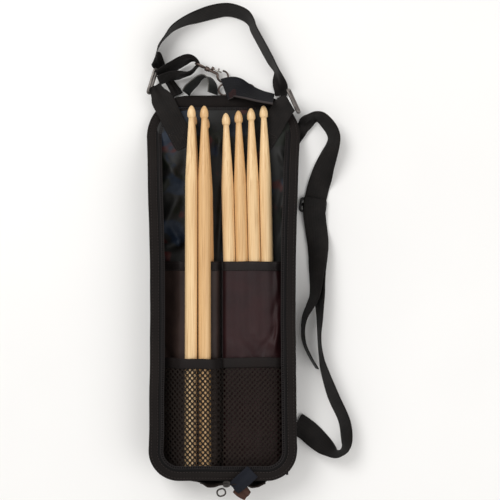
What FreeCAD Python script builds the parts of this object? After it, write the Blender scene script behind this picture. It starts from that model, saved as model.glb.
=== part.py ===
# Drum stick bag, lying open on its back: a padded tray with pockets, a zip-round cover folded
# behind it, hanging hooks, a grab handle, a carry strap, a shoulder strap and eight sticks.
# Frame: X across the bag, Y towards the stick tips, Z up; the origin is on the supporting
# surface below the middle of the back panel. Millimetres.
import FreeCAD, Part
import math
import os
import Sketcher

Vector = FreeCAD.Vector
Rotation = FreeCAD.Rotation
Placement = FreeCAD.Placement

doc = FreeCAD.newDocument("DrumStickBag")
sheet = doc.addObject("Spreadsheet::Sheet", "Sizes")

DRIVING_SIZES = [
    # tray outline
    ("tray_half_length", 214.6),
    ("half_width_top", 85.8),
    ("half_width_waist", 79.8),
    ("half_width_foot", 81.5),
    ("top_corner_radius", 46.0),
    ("foot_corner_radius", 33.0),
    # cover, folded below the tray at rest
    ("cover_inset", 12.0),
    ("cover_lining_thick", 0.7),
    ("cover_panel_thick", 3.3),
    ("fold_gap", 0.3),
    ("fold_axis_height", 50.2),
    ("fold_axis_offset", 2.6),
    ("fold_strip_thick", 2.4),
    ("fold_centre_x", 11.0),
    ("fold_half_width", 36.0),
    # tray
    ("back_panel_thick", 4.0),
    ("lining_thick", 3.7),
    ("lining_inset", 16.5),
    ("wall_thick", 2.0),
    ("rim_height", 46.0),
    ("hem_height", 9.7),
    ("rim_fall_start", 90.0),
    ("rim_fall_end", 198.0),
    ("border_thick", 1.2),
    ("border_width", 10.0),
    ("tape_thick", 0.8),
    ("tape_inset", 15.5),
    ("coil_width", 3.0),
    ("coil_thick", 1.9),
    # pockets
    ("pocket_thick", 0.9),
    ("pocket_mouth_y", 26.7),
    ("mesh_mouth_y", -80.0),
    ("seam_x", -2.0),
    # sticks
    ("stick_radius", 6.95),
    ("stick_long", 405.0),
    ("stick_short", 396.0),
    ("stick_neck_radius", 3.15),
    ("stick_tip_radius", 4.7),
    ("stick_tip_length", 14.0),
    ("stick_taper", 73.0),
    ("stick_low_height", 20.6),
    ("stick_high_height", 36.2),
    ("stick_pitch", 14.2),
    # webbing and hardware
    ("webbing_width", 25.0),
    ("webbing_thick", 1.3),
    ("ring_wire", 3.0),
    ("hook_wire", 2.2),
    ("slider_height", 50.6),
]
for row, (alias, value) in enumerate(DRIVING_SIZES, start=1):
    sheet.set("A%d" % row, alias)
    sheet.set("B%d" % row, str(value))
    sheet.setAlias("B%d" % row, alias)
doc.recompute()


def size(expression):
    """Value of an expression over the sheet's aliases, such as size("rim_height - border_thick")."""
    words = []
    for word in expression.replace("(", "( ").replace(")", " )").split():
        words.append("Sizes." + word if word[0].isalpha() else word)
    value = sheet.evalExpression(" ".join(words))
    return float(getattr(value, "Value", value))


def bind(feature, **expressions):
    """Bind properties of a feature to expressions over the sheet's aliases."""
    for prop, expression in expressions.items():
        words = []
        for word in expression.replace("(", "( ").replace(")", " )").split():
            words.append("Sizes." + word if word[0].isalpha() else word)
        feature.setExpression(prop, " ".join(words))


node_features = []


def node(feature, label):
    """Mark a feature as one sub-part; its label names its file."""
    feature.Label = label
    node_features.append(feature)
    return feature


def plain(name, shape, placement=None):
    """A Part::Feature holding a shape made with Part's own functions."""
    feature = doc.addObject("Part::Feature", name)
    feature.Shape = shape
    if placement is not None:
        feature.Placement = placement
    return feature


def boolean(kind, name, base, tool):
    feature = doc.addObject("Part::" + kind, name)
    feature.Base = base
    feature.Tool = tool
    return feature


def line(start, end):
    return Part.LineSegment(Vector(*start), Vector(*end)).toShape()


def arc(start, through, end):
    return Part.Arc(Vector(*start), Vector(*through), Vector(*end)).toShape()


# ---------------------------------------------------------------- outline of the tray

def tray_outline():
    """Waisted rounded rectangle: small corners at the foot, large ones at the top."""
    end = size("tray_half_length")
    top_x = size("half_width_top")
    waist_x = size("half_width_waist")
    foot_x = size("half_width_foot")
    top_r = size("top_corner_radius")
    foot_r = size("foot_corner_radius")
    top_y = end - top_r
    foot_y = -end + foot_r
    diagonal = math.sqrt(0.5)
    edges = []
    for side in (1, -1):
        foot_corner = arc(
            (side * (foot_x - foot_r), -end, 0),
            (side * (foot_x - foot_r + foot_r * diagonal), foot_y - foot_r * diagonal, 0),
            (side * foot_x, foot_y, 0))
        flank = arc(
            (side * foot_x, foot_y, 0),
            (side * waist_x, (foot_y + top_y) / 2, 0),
            (side * top_x, top_y, 0))
        top_corner = arc(
            (side * top_x, top_y, 0),
            (side * (top_x - top_r + top_r * diagonal), top_y + top_r * diagonal, 0),
            (side * (top_x - top_r), end, 0))
        edges += [foot_corner, flank, top_corner]
    edges.append(line((foot_r - foot_x, -end, 0), (foot_x - foot_r, -end, 0)))
    edges.append(line((top_r - top_x, end, 0), (top_x - top_r, end, 0)))
    return Part.Wire(Part.__sortEdges__(edges))


outline = plain("TrayOutline", tray_outline())


def inset_outline(name, distance):
    """The tray outline moved inwards by an expression over the sheet."""
    offset = doc.addObject("Part::Offset2D", name)
    offset.Source = outline
    offset.Value = -1.0
    bind(offset, Value="0 - ( " + distance + " )")
    return offset


def prism(name, base, low, thick):
    """Straight extrusion of a flat outline from height low, both given as expressions."""
    feature = doc.addObject("Part::Extrusion", name)
    feature.Base = base
    feature.DirMode = "Custom"
    feature.Dir = Vector(0, 0, 1)
    feature.Solid = True
    bind(feature, LengthFwd=thick)
    feature.setExpression("Placement.Base.z", " ".join(
        "Sizes." + word if word[0].isalpha() else word for word in low.split()))
    return feature


def ring(name, outer_inset, inner_inset, low, thick):
    """Band that follows the tray outline between two insets."""
    inner = inset_outline(name + "Inner", inner_inset)
    if outer_inset == "0":
        outer = outline
    else:
        outer = inset_outline(name + "Outer", outer_inset)
    outside = prism(name + "Outside", outer, low, thick)
    inside = prism(name + "Inside", inner, low, thick)
    return boolean("Cut", name, outside, inside)


# The rim is level along the sides and sags to a flat hem across the top.
def rim_profile_points(drop):
    """Corner and arc points, in Y and Z, of the rim line lowered by drop."""
    high = size("rim_height") - drop
    low = size("hem_height") - drop
    start = size("rim_fall_start")
    end = size("rim_fall_end")
    run = end - start
    fall = high - low
    radius = (run * run + fall * fall) / (4 * fall)
    half_turn = math.asin(run / 2 / radius) / 2
    near = (start + radius * math.sin(half_turn), high - radius * (1 - math.cos(half_turn)))
    far = (end - radius * math.sin(half_turn), low + radius * (1 - math.cos(half_turn)))
    middle = ((start + end) / 2, (high + low) / 2)
    return high, low, start, end, near, middle, far


def rim_edges(drop, reach, side_x):
    """The rim line as edges from -reach to +reach, at X = side_x."""
    high, low, start, end, near, middle, far = rim_profile_points(drop)
    return [
        line((side_x, -reach, high), (side_x, start, high)),
        arc((side_x, start, high), (side_x, near[0], near[1]), (side_x, middle[0], middle[1])),
        arc((side_x, middle[0], middle[1]), (side_x, far[0], far[1]), (side_x, end, low)),
        line((side_x, end, low), (side_x, reach, low)),
    ]


def rim_slab(name, top_drop, bottom_drop):
    """Solid between two copies of the rim line, wider than the tray. Without a bottom it
    reaches below the tray."""
    reach = size("tray_half_length + 20")
    side = size("half_width_top + 20")
    edges = rim_edges(top_drop, reach, -side)
    ends = (size("rim_height") - top_drop, size("hem_height") - top_drop)
    if bottom_drop is None:
        floor = -10.0
        edges += [line((-side, -reach, floor), (-side, reach, floor))]
        lows = (floor, floor)
    else:
        edges += rim_edges(bottom_drop, reach, -side)
        lows = (size("rim_height") - bottom_drop, size("hem_height") - bottom_drop)
    edges.append(line((-side, -reach, ends[0]), (-side, -reach, lows[0])))
    edges.append(line((-side, reach, ends[1]), (-side, reach, lows[1])))
    face = Part.Face(Part.Wire(Part.__sortEdges__(edges)))
    return plain(name, face.extrude(Vector(2 * side, 0, 0)))


COVER_THICK = "cover_lining_thick + cover_panel_thick"
PANEL_LOW = COVER_THICK + " + fold_gap"
PANEL_TOP = PANEL_LOW + " + back_panel_thick"


TRIM_REACH = 300.0


def make_tray():
    """Back panel, lining, the wall in four stretches, the border and its zip."""
    panel = prism("BackPanel", inset_outline("PanelEdge", "wall_thick"), PANEL_LOW, "back_panel_thick")
    node(panel, "back_panel")
    lining = prism("Lining", inset_outline("LiningEdge", "lining_inset"), PANEL_TOP, "lining_thick")
    node(lining, "lining")

    border = size("border_thick")
    tape = size("tape_thick")
    tall = "rim_height - ( " + PANEL_LOW + " )"
    wall = ring("WallRing", "0", "wall_thick", PANEL_LOW, tall)
    below_border = rim_slab("BelowBorder", border, None)
    whole_wall = boolean("Common", "WholeWall", wall, below_border)
    straight = size("half_width_foot - foot_corner_radius")
    far = TRIM_REACH
    stretches = (("Left", -far, -straight, -far, far), ("Right", straight, far, -far, far),
                 ("Top", -straight, straight, 0.0, far), ("Foot", -straight, straight, -far, 0.0))
    for side, low_x, high_x, low_y, high_y in stretches:
        stretch = doc.addObject("Part::Box", "WallStretch" + side)
        stretch.Length = high_x - low_x
        stretch.Width = high_y - low_y
        stretch.Height = far
        stretch.Placement = Placement(Vector(low_x, low_y, 0), Rotation())
        node(boolean("Common", "GussetWall" + side, whole_wall, stretch), "gusset_wall_" + side.lower())

    border_ring = ring("BorderRing", "0", "border_width", PANEL_LOW, tall + " + 5")
    border_slab = rim_slab("BorderSlab", 0.0, border)
    node(boolean("Common", "FrontBorder", border_ring, border_slab), "front_border")

    tape_ring = ring("TapeRing", "border_width", "tape_inset", PANEL_LOW, tall + " + 5")
    tape_slab = rim_slab("TapeSlab", border - tape, border)
    node(boolean("Common", "ZipTapeBag", tape_ring, tape_slab), "zip_tape_bag")

    coil_ring = ring("CoilRing", "tape_inset - coil_width", "tape_inset", PANEL_LOW, tall + " + 5")
    coil_slab = rim_slab("CoilSlab", border - tape - size("coil_thick"), border - tape)
    node(boolean("Common", "ZipCoilBag", coil_ring, coil_slab), "zip_coil_bag")


# ---------------------------------------------------------------- pockets

def thick_band(points, thick):
    """Closed outline of a band of even thickness below a chain of X and Z points."""
    upper = [Vector(x, 0, z) for x, z in points]
    lower = []
    for index, point in enumerate(upper):
        before = upper[max(index - 1, 0)]
        after = upper[min(index + 1, len(upper) - 1)]
        first = (point - before) if index else (after - point)
        second = (after - point) if index < len(upper) - 1 else first
        first.normalize()
        second.normalize()
        middle = first + second
        middle.normalize()
        reach = thick / max(middle.dot(first), 0.35)
        lower.append(point + Vector(middle.z, 0, -middle.x) * reach)
    ring_points = upper + lower[::-1] + [upper[0]]
    return Part.Face(Part.makePolygon(ring_points))


def pocket(name, label, points, low_y, high_y):
    """A pocket sheet: a band drawn in X and Z, run along Y and trimmed to the tray's inside."""
    band = thick_band(points, size("pocket_thick"))
    band.translate(Vector(0, low_y, 0))
    raw = plain(name + "Raw", band.extrude(Vector(0, high_y - low_y, 0)))
    trimmer = prism(name + "Trim", inset_outline(name + "Edge", "wall_thick + 0.05"),
                    PANEL_LOW, "rim_height")
    return node(boolean("Common", name, raw, trimmer), label)


def make_pockets():
    seam = size("seam_x")
    mouth = size("pocket_mouth_y")
    mesh_mouth = size("mesh_mouth_y")
    foot = -size("tray_half_length") + 1.0
    panel_top = size(PANEL_TOP)
    lining_top = panel_top + size("lining_thick")
    low_top = size("stick_low_height + stick_radius + 0.3 + pocket_thick")
    mesh_top = size("stick_high_height + stick_radius + 0.3 + pocket_thick")
    mid_left = [
        (-78.5, panel_top + 1.2), (-70.0, panel_top + 3.4), (-60.0, lining_top + 5.0),
        (-48.0, low_top - 1.5), (-38.0, low_top), (-12.0, low_top), (-6.6, low_top - 2.0),
        (-4.2, lining_top + 6.0), (seam - 0.6, lining_top + 1.2)]
    mid_right = [
        (seam + 0.3, lining_top + 1.2), (seam + 0.4, lining_top + 7.0), (seam + 1.0, low_top - 5.0),
        (1.6, low_top - 0.8), (5.0, low_top), (59.0, low_top), (65.0, low_top - 3.5),
        (70.0, lining_top + 5.0),
        (74.5, panel_top + 3.4), (80.0, panel_top + 1.2)]
    pocket("MidPocketLeft", "mid_pocket_left", mid_left, foot, mouth)
    pocket("MidPocketRight", "mid_pocket_right", mid_right, foot, mouth)
    mesh_left = [
        (-78.5, panel_top + 8.0), (-66.0, low_top - 3.0), (-54.0, low_top + 6.0),
        (-45.5, mesh_top - 1.5), (-40.0, mesh_top), (-14.5, mesh_top), (-9.5, mesh_top - 3.0),
        (-4.0, low_top + 1.0), (seam + 0.2, lining_top + 14.0)]
    mesh_right = [
        (seam + 0.6, lining_top + 14.0), (0.2, low_top + 1.2), (6.0, low_top + 1.9),
        (58.5, low_top + 1.9), (66.0, low_top - 1.0), (72.0, lining_top + 8.0),
        (80.0, panel_top + 8.0)]
    pocket("MeshPocketLeft", "mesh_pocket_left", mesh_left, foot, mesh_mouth)
    pocket("MeshPocketRight", "mesh_pocket_right", mesh_right, foot, mesh_mouth)


# ---------------------------------------------------------------- cover and its fold

def make_cover():
    """At rest the cover lies below the tray: its last stretch at the foot is the fold strip."""
    fold_y = -size("tray_half_length + fold_axis_offset")
    fold_z = size("fold_axis_height")
    middle = size("( " + COVER_THICK + " ) / 2")
    strip_length = fold_z - middle
    shift = -strip_length
    cover_edge = inset_outline("CoverEdge", "cover_inset")
    tape_edge = inset_outline("CoverTapeEdge", "cover_inset - 3")
    reach = 300.0
    keep_low = fold_y + 1.5
    keeper = plain("CoverKeep", Part.makeBox(2 * reach, 2 * reach, 60, Vector(-reach, keep_low, -20)))

    def below(name, edge, low, thick):
        raw = prism(name + "Raw", edge, low, thick)
        raw.Placement.Base.y = shift
        return boolean("Common", name, raw, keeper)

    node(below("CoverLining", cover_edge, "0", "cover_lining_thick"), "cover_lining")
    node(below("CoverPanel", cover_edge, "cover_lining_thick", "cover_panel_thick"), "cover_panel")

    def edge_band(name, outer, inner, low, thick):
        outside = prism(name + "Out", inset_outline(name + "OutEdge", outer), low, thick)
        inside = prism(name + "In", inset_outline(name + "InEdge", inner), low, thick)
        outside.Placement.Base.y = shift
        inside.Placement.Base.y = shift
        cut = boolean("Cut", name + "Ring", outside, inside)
        return boolean("Common", name, cut, keeper)

    node(edge_band("CoverZipTape", "cover_inset - 4.5", "cover_inset", "cover_lining_thick + 0.8",
                   "tape_thick"), "cover_zip_tape")
    node(edge_band("CoverZipCoil", "cover_inset - 4.5", "cover_inset - 1.5",
                   "cover_lining_thick + 0.8 + tape_thick", "coil_thick * 0.8"), "cover_zip_coil")

    # The strip has two ears at its top, either side of the notch for the slider and the tab.
    thick = size("fold_strip_thick")
    centre = size("fold_centre_x")
    half = size("fold_half_width")
    wide = size("half_width_foot - foot_corner_radius + 3")
    top = fold_z - 5.0
    bottom = middle + 1.4
    notch_low = fold_z - 22.5
    notch_left = -9.5
    notch_right = 40.0
    flare = 28.0
    points = [
        Vector(centre - half, fold_y, top), Vector(notch_left, fold_y, top),
        Vector(notch_left, fold_y, notch_low), Vector(notch_right, fold_y, notch_low),
        Vector(notch_right, fold_y, top), Vector(centre + half, fold_y, top),
        Vector(centre + half, fold_y, top - 6), Vector(wide, fold_y, top - flare),
        Vector(wide, fold_y, bottom), Vector(-wide, fold_y, bottom),
        Vector(-wide, fold_y, top - flare), Vector(centre - half, fold_y, top - 6)]
    face = Part.Face(Part.makePolygon(points + [points[0]]))
    strip = face.extrude(Vector(0, thick, 0))
    strip.translate(Vector(0, -thick / 2, 0))
    node(plain("FoldStrip", strip), "cover_fold_strip")


# ---------------------------------------------------------------- sticks

def make_stick(label, length, tip, foot_x):
    """A turned stick with an acorn tip, standing on the foot of its pocket. tip is the X, Y
    and Z of its point, and foot_x is where the middle of its butt lies."""
    body = doc.addObject("PartDesign::Body", label.title().replace("_", ""))
    sketch = body.newObject("Sketcher::SketchObject", label + "_profile")
    plane = [item for item in body.Origin.OriginFeatures if item.Role == "XZ_Plane"][0]
    sketch.AttachmentSupport = [(plane, "")]
    sketch.MapMode = "FlatFace"
    radius = "Sizes.stick_radius"
    neck = "Sizes.stick_neck_radius"
    bead = "Sizes.stick_tip_radius"
    whole = "Sizes." + length
    tip_start = whole + " - Sizes.stick_tip_length"
    rounding = 1.6
    tip_bead = [(0.80, 1.2), (0.97, 2.8), (1.0, 4.2), (0.95, 7.0), (0.78, 10.4), (0.46, 13.0)]
    corners = [
        ("0", "0"),
        (radius + " - %g" % rounding, "0"),
        (radius, "%g" % rounding),
        (radius, tip_start + " - Sizes.stick_taper"),
        (neck, tip_start)]
    for share, along in tip_bead:
        corners.append((bead + " * %g" % share, tip_start + " + %g" % along))
    corners.append(("0", whole))
    count = len(corners)
    places = []
    for across, along in corners:
        x = float(str(sheet.evalExpression(across)))
        y = float(str(sheet.evalExpression(along)))
        places.append(Vector(x, y, 0))
    for index in range(count):
        sketch.addGeometry(Part.LineSegment(places[index], places[(index + 1) % count]), False)
    for index in range(count):
        sketch.addConstraint(Sketcher.Constraint("Coincident", index, 2, (index + 1) % count, 1))
    for index, (across, along) in enumerate(corners):
        if index in (0, count - 1):
            sketch.addConstraint(Sketcher.Constraint("PointOnObject", index, 1, -2))
        else:
            tag = sketch.addConstraint(
                Sketcher.Constraint("DistanceX", -1, 1, index, 1, places[index].x))
            sketch.setExpression("Constraints[%d]" % tag, across)
        if index in (0, 1):
            sketch.addConstraint(Sketcher.Constraint("PointOnObject", index, 1, -1))
        else:
            tag = sketch.addConstraint(
                Sketcher.Constraint("DistanceY", -1, 1, index, 1, places[index].y))
            sketch.setExpression("Constraints[%d]" % tag, along)
    turned = body.newObject("PartDesign::Revolution", label + "_turned")
    turned.Profile = sketch
    turned.ReferenceAxis = (sketch, ["V_Axis"])
    turned.Angle = 360
    span = size(length)
    lean = math.asin((foot_x - tip[0]) / span)
    foot = Vector(tip[0] + span * math.sin(lean), tip[1] - span * math.cos(lean), tip[2])
    heading = Vector(-math.sin(lean), math.cos(lean), 0)
    body.Placement = Placement(foot, Rotation(Vector(0, 0, 1), heading))
    return node(body, label)


def make_sticks():
    high = size("stick_high_height")
    low = size("stick_low_height")
    make_stick("drumstick_1", "stick_long", (-35.0, 200.7, high), -35.9)
    make_stick("drumstick_2", "stick_long", (-20.9, 200.4, high), -20.2)
    make_stick("drumstick_3", "stick_short", (-20.2, 190.5, low), -14.0)
    make_stick("drumstick_4", "stick_long", (-34.4, 194.6, low), -29.2)
    first_tip_x = 2.8
    first_foot_x = 12.5
    tips_y = (194.1, 196.8, 199.5, 202.5)
    for index, tip_y in enumerate(tips_y):
        across = index * size("stick_pitch")
        slope = (first_foot_x - first_tip_x) / size("stick_long")
        along = (tip_y - tips_y[0]) * slope
        tip_x = first_tip_x + across - along
        make_stick("drumstick_%d" % (5 + index), "stick_long", (tip_x, tip_y, low),
                   tip_x + first_foot_x - first_tip_x)


# ---------------------------------------------------------------- webbing

def ribbon(route, thick=None):
    """Webbing through a route of (x, y, z, roll) stations, or (x, y, z, roll, width) where it
    is bunched. Roll is in degrees: 0 lies flat, 90 stands on its edge. The skin between two
    stations is made of flat triangles."""
    thick = size("webbing_thick") if thick is None else thick
    places = [Vector(*station[:3]) for station in route]
    sections = []
    for index, station in enumerate(route):
        width = station[4] if len(station) > 4 else size("webbing_width")
        before = places[max(index - 1, 0)]
        after = places[min(index + 1, len(places) - 1)]
        heading = after - before
        heading.normalize()
        level = Vector(0, 0, 1).cross(heading)
        level.normalize()
        across = Rotation(heading, station[3]).multVec(level)
        half = across * (width / 2)
        deep = heading.cross(across) * (thick / 2)
        sections.append([places[index] + half + deep, places[index] - half + deep,
                         places[index] - half - deep, places[index] + half - deep])
    quads = [sections[0], sections[-1][::-1]]
    for near, far in zip(sections, sections[1:]):
        quads.append([near[0], far[0], far[1], near[1]])
        quads.append([near[1], far[1], far[2], near[2]])
        quads.append([far[2], far[3], near[3], near[2]])
        quads.append([near[3], far[3], far[0], near[0]])
    faces = []
    for first, second, third, fourth in quads:
        faces.append(Part.Face(Part.makePolygon([first, second, third, first])))
        faces.append(Part.Face(Part.makePolygon([first, third, fourth, first])))
    solid = Part.Solid(Part.Shell(faces))
    if solid.Volume < 0:
        solid.reverse()
    return solid


HANGER_LEFT = [
    (-42.0, 157.0, 12.8, 0), (-48.0, 168.0, 12.8, 0), (-55.0, 181.5, 13.1, 0),
    (-62.0, 196.0, 15.5, 4), (-69.4, 210.0, 15.4, 8), (-74.4, 218.4, 14.2, 8, 17),
    (-78.2, 225.6, 13.5, 4, 14)]
HANGER_RIGHT = [
    (43.0, 159.0, 12.8, 0), (49.5, 169.5, 12.8, 0), (56.0, 181.0, 14.0, -4),
    (62.0, 192.0, 16.8, -4), (68.6, 201.2, 18.6, 0), (75.4, 205.6, 18.8, 0, 21)]
HANG_LOOP_LEFT = [
    (-74.4, 236.6, 15.2, 70), (-66.0, 242.0, 15.0, 70), (-56.0, 248.0, 14.4, 70),
    (-46.0, 253.8, 14.0, 72), (-38.6, 256.6, 13.8, 76, 19), (-33.0, 255.8, 13.6, 84, 12),
    (-29.6, 253.0, 13.2, 88, 5.4), (-28.6, 249.4, 12.8, 90, 4.4), (-31.4, 246.2, 13.2, 92, 5.4),
    (-34.6, 242.4, 13.8, 96, 12), (-40.0, 239.2, 14.0, 100, 19), (-50.0, 237.6, 14.8, 104),
    (-59.0, 236.4, 15.2, 106), (-67.0, 233.8, 15.4, 106), (-73.4, 231.4, 15.4, 106)]
HANG_LOOP_RIGHT = [
    (56.6, 209.4, 21.6, 58), (52.0, 210.4, 21.6, 57), (42.0, 212.8, 21.2, 54),
    (32.0, 216.0, 20.4, 48), (23.0, 219.6, 18.6, 36), (14.0, 223.4, 16.0, 16),
    (6.0, 223.0, 14.2, 4), (1.0, 221.4, 13.6, 0)]
GRAB_HANDLE = [
    (-12.4, 217.2, 11.8, 66), (-12.2, 222.0, 11.8, 66), (-13.0, 228.4, 12.2, 70),
    (-16.4, 234.4, 12.8, 78), (-21.8, 236.6, 12.9, 90), (-27.2, 234.4, 12.9, 98),
    (-32.0, 229.6, 12.8, 104), (-36.6, 225.4, 12.8, 106), (-40.4, 221.4, 12.8, 108),
    (-42.6, 217.2, 12.8, 108)]
CARRY_STRAP = [
    (-52.6, 216.4, 2.6, 0, 14), (-55.4, 222.0, 1.8, 0, 12), (-60.4, 230.0, 1.1, 0, 10),
    (-66.4, 238.6, 1.2, 0, 10), (-71.6, 247.0, 2.2, 8, 12), (-75.4, 254.4, 7.4, 44, 18),
    (-75.8, 261.0, 12.9, 92),
    (-73.3, 270.5, 12.9, 95), (-66.5, 280.6, 12.9, 94), (-57.3, 290.8, 12.9, 86),
    (-43.8, 298.8, 12.7, 77), (-30.3, 303.7, 12.2, 67), (-13.4, 309.1, 11.8, 62),
    (1.8, 311.8, 12.0, 64), (14.5, 310.0, 12.1, 65), (25.5, 304.9, 12.3, 68),
    (31.5, 297.6, 12.6, 74), (34.4, 289.2, 12.6, 75), (43.6, 272.3, 12.6, 75),
    (52.9, 255.4, 12.6, 75), (60.4, 242.0, 12.8, 80), (63.6, 230.0, 9.4, 48, 20),
    (65.2, 221.0, 4.6, 14, 15), (65.4, 215.4, 2.8, 0, 14)]
SHOULDER_STRAP = [
    (79.5, 164.5, 2.9, 0, 15), (86.0, 173.5, 2.9, 0, 15), (91.2, 181.0, 3.0, 0, 15),
    (95.4, 186.4, 8.0, 44, 19), (99.6, 189.4, 11.6, 66), (104.5, 191.4, 12.2, 71),
    (110.5, 190.0, 11.9, 66), (116.5, 184.4, 11.4, 62), (122.5, 176.0, 11.3, 61),
    (125.2, 167.6, 11.2, 60), (123.8, 158.6, 10.6, 55), (119.6, 147.5, 9.5, 43),
    (114.8, 134.8, 7.4, 30), (111.0, 122.0, 3.8, 12), (108.0, 112.0, 1.4, 0),
    (105.4, 101.0, 1.1, 0), (102.8, 90.5, 1.1, 0), (103.6, 78.0, 1.1, 0), (105.6, 62.0, 1.1, 0),
    (107.8, 43.0, 7.0, 28), (107.4, 16.0, 10.4, 50), (108.6, -13.0, 12.2, 66),
    (108.9, -35.5, 12.9, 77), (108.3, -58.0, 13.0, 84), (110.4, -79.0, 13.0, 82),
    (114.6, -97.0, 12.6, 72), (124.4, -125.3, 11.6, 61), (136.7, -153.3, 11.6, 61),
    (139.4, -174.0, 12.0, 64), (138.0, -184.0, 12.8, 76), (132.6, -189.6, 13.0, 84),
    (125.0, -189.6, 12.6, 70), (115.8, -183.4, 9.4, 42), (106.0, -175.0, 5.8, 22),
    (96.6, -166.6, 3.4, 6), (88.6, -160.8, 2.9, 0), (82.6, -157.0, 2.9, 0)]
SHOULDER_TAIL = [
    (104.6, 99.0, 5.6, 0), (103.4, 91.0, 5.6, 0), (103.6, 80.0, 5.2, 0), (104.6, 70.0, 3.4, 0),
    (105.8, 61.0, 3.2, 2), (107.0, 43.0, 9.0, 28), (105.4, 16.0, 12.4, 50),
    (103.4, -10.0, 12.9, 66), (97.4, -24.5, 12.9, 74), (92.0, -36.0, 12.9, 80),
    (89.9, -49.5, 12.9, 84), (91.4, -65.0, 12.9, 84), (97.6, -80.0, 12.9, 84),
    (106.0, -94.0, 12.9, 84)]


def wire_frame(length, width, wire, corner):
    """Rounded rectangular loop of round wire, lying in the XY plane about the origin."""
    half_x = (length - wire) / 2
    half_y = (width - wire) / 2
    edges = []
    turn = corner * (1 - math.sqrt(0.5))
    for side_x, side_y in ((1, 1), (-1, 1), (-1, -1), (1, -1)):
        edges.append(arc(
            (side_x * half_x, side_y * (half_y - corner), 0),
            (side_x * (half_x - turn), side_y * (half_y - turn), 0),
            (side_x * (half_x - corner), side_y * half_y, 0)))
    for side in (1, -1):
        edges.append(line((corner - half_x, side * half_y, 0), (half_x - corner, side * half_y, 0)))
        edges.append(line((side * half_x, corner - half_y, 0), (side * half_x, half_y - corner, 0)))
    path = Part.Wire(Part.__sortEdges__(edges))
    start = path.Edges[0].valueAt(path.Edges[0].FirstParameter)
    heading = path.Edges[0].tangentAt(path.Edges[0].FirstParameter)
    section = Part.Wire([Part.Circle(start, heading, wire / 2).toShape()])
    return path.makePipeShell([section], True, True)


def turned_frame(origin, along, upward):
    """Placement whose local X runs along a direction, with local Z as near upward as it goes."""
    x_way = Vector(*along)
    x_way.normalize()
    y_way = Vector(*upward).cross(x_way)
    y_way.normalize()
    z_way = x_way.cross(y_way)
    return Placement(Vector(*origin), Rotation(x_way, y_way, z_way, "ZXY"))


def cylinder(name, radius, length, start, local=None):
    """A Part::Cylinder along local X from a start point; radius and length are expressions."""
    feature = doc.addObject("Part::Cylinder", name)
    if isinstance(radius, str):
        bind(feature, Radius=radius)
    else:
        feature.Radius = radius
    feature.Height = length
    lying = Placement(Vector(*start), Rotation(Vector(0, 1, 0), 90))
    feature.Placement = local.multiply(lying) if local is not None else lying
    return feature


def fuse(name, shapes):
    feature = doc.addObject("Part::MultiFuse", name)
    feature.Shapes = shapes
    return feature


# The station, just below its slider, at which the two lengths of the shoulder strap meet.
MEETING_STATION = 18


def make_webbing():
    """Every strap is one ribbon, apart from the shoulder strap, which is two that meet below its slider."""
    node(plain("HangerLeft", ribbon(HANGER_LEFT)), "hanger_webbing_left")
    node(plain("HangerRight", ribbon(HANGER_RIGHT)), "hanger_webbing_right")
    node(plain("HangLoopLeft", ribbon(HANG_LOOP_LEFT)), "hang_loop_left")
    doubled = size("webbing_thick * 2 + 0.3")
    node(plain("HangLoopRight", ribbon(HANG_LOOP_RIGHT, doubled)), "hang_loop_right")
    node(plain("GrabHandle", ribbon(GRAB_HANDLE)), "grab_handle")
    node(plain("CarryStrap", ribbon(CARRY_STRAP)), "carry_strap")
    upper = SHOULDER_STRAP[:MEETING_STATION + 1]
    lower = SHOULDER_STRAP[MEETING_STATION:]
    node(plain("ShoulderStrapUpper", ribbon(upper)), "shoulder_strap_upper")
    node(plain("ShoulderStrapLower", ribbon(lower)), "shoulder_strap_lower")
    node(plain("ShoulderTail", ribbon(SHOULDER_TAIL)), "shoulder_strap_tail")


# ---------------------------------------------------------------- metal and plastic fittings

def make_rings():
    """Rectangular wire loops that join the hanger webbing to the hanging loops."""
    wire = size("ring_wire")
    frame = wire_frame(size("webbing_width + 2 * ring_wire"), 12.0, wire, 2.5)
    left = turned_frame((-80.4, 230.8, 13.5), (0.30, 0.954, 0.0), (0.93, -0.29, 0.22))
    right = turned_frame((79.0, 207.8, 18.6), (0.417, -0.909, 0.0), (0.86, 0.395, 0.32))
    node(plain("RingLeft", frame, left), "hanger_ring_left")
    node(plain("RingRight", frame, right), "hanger_ring_right")


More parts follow.
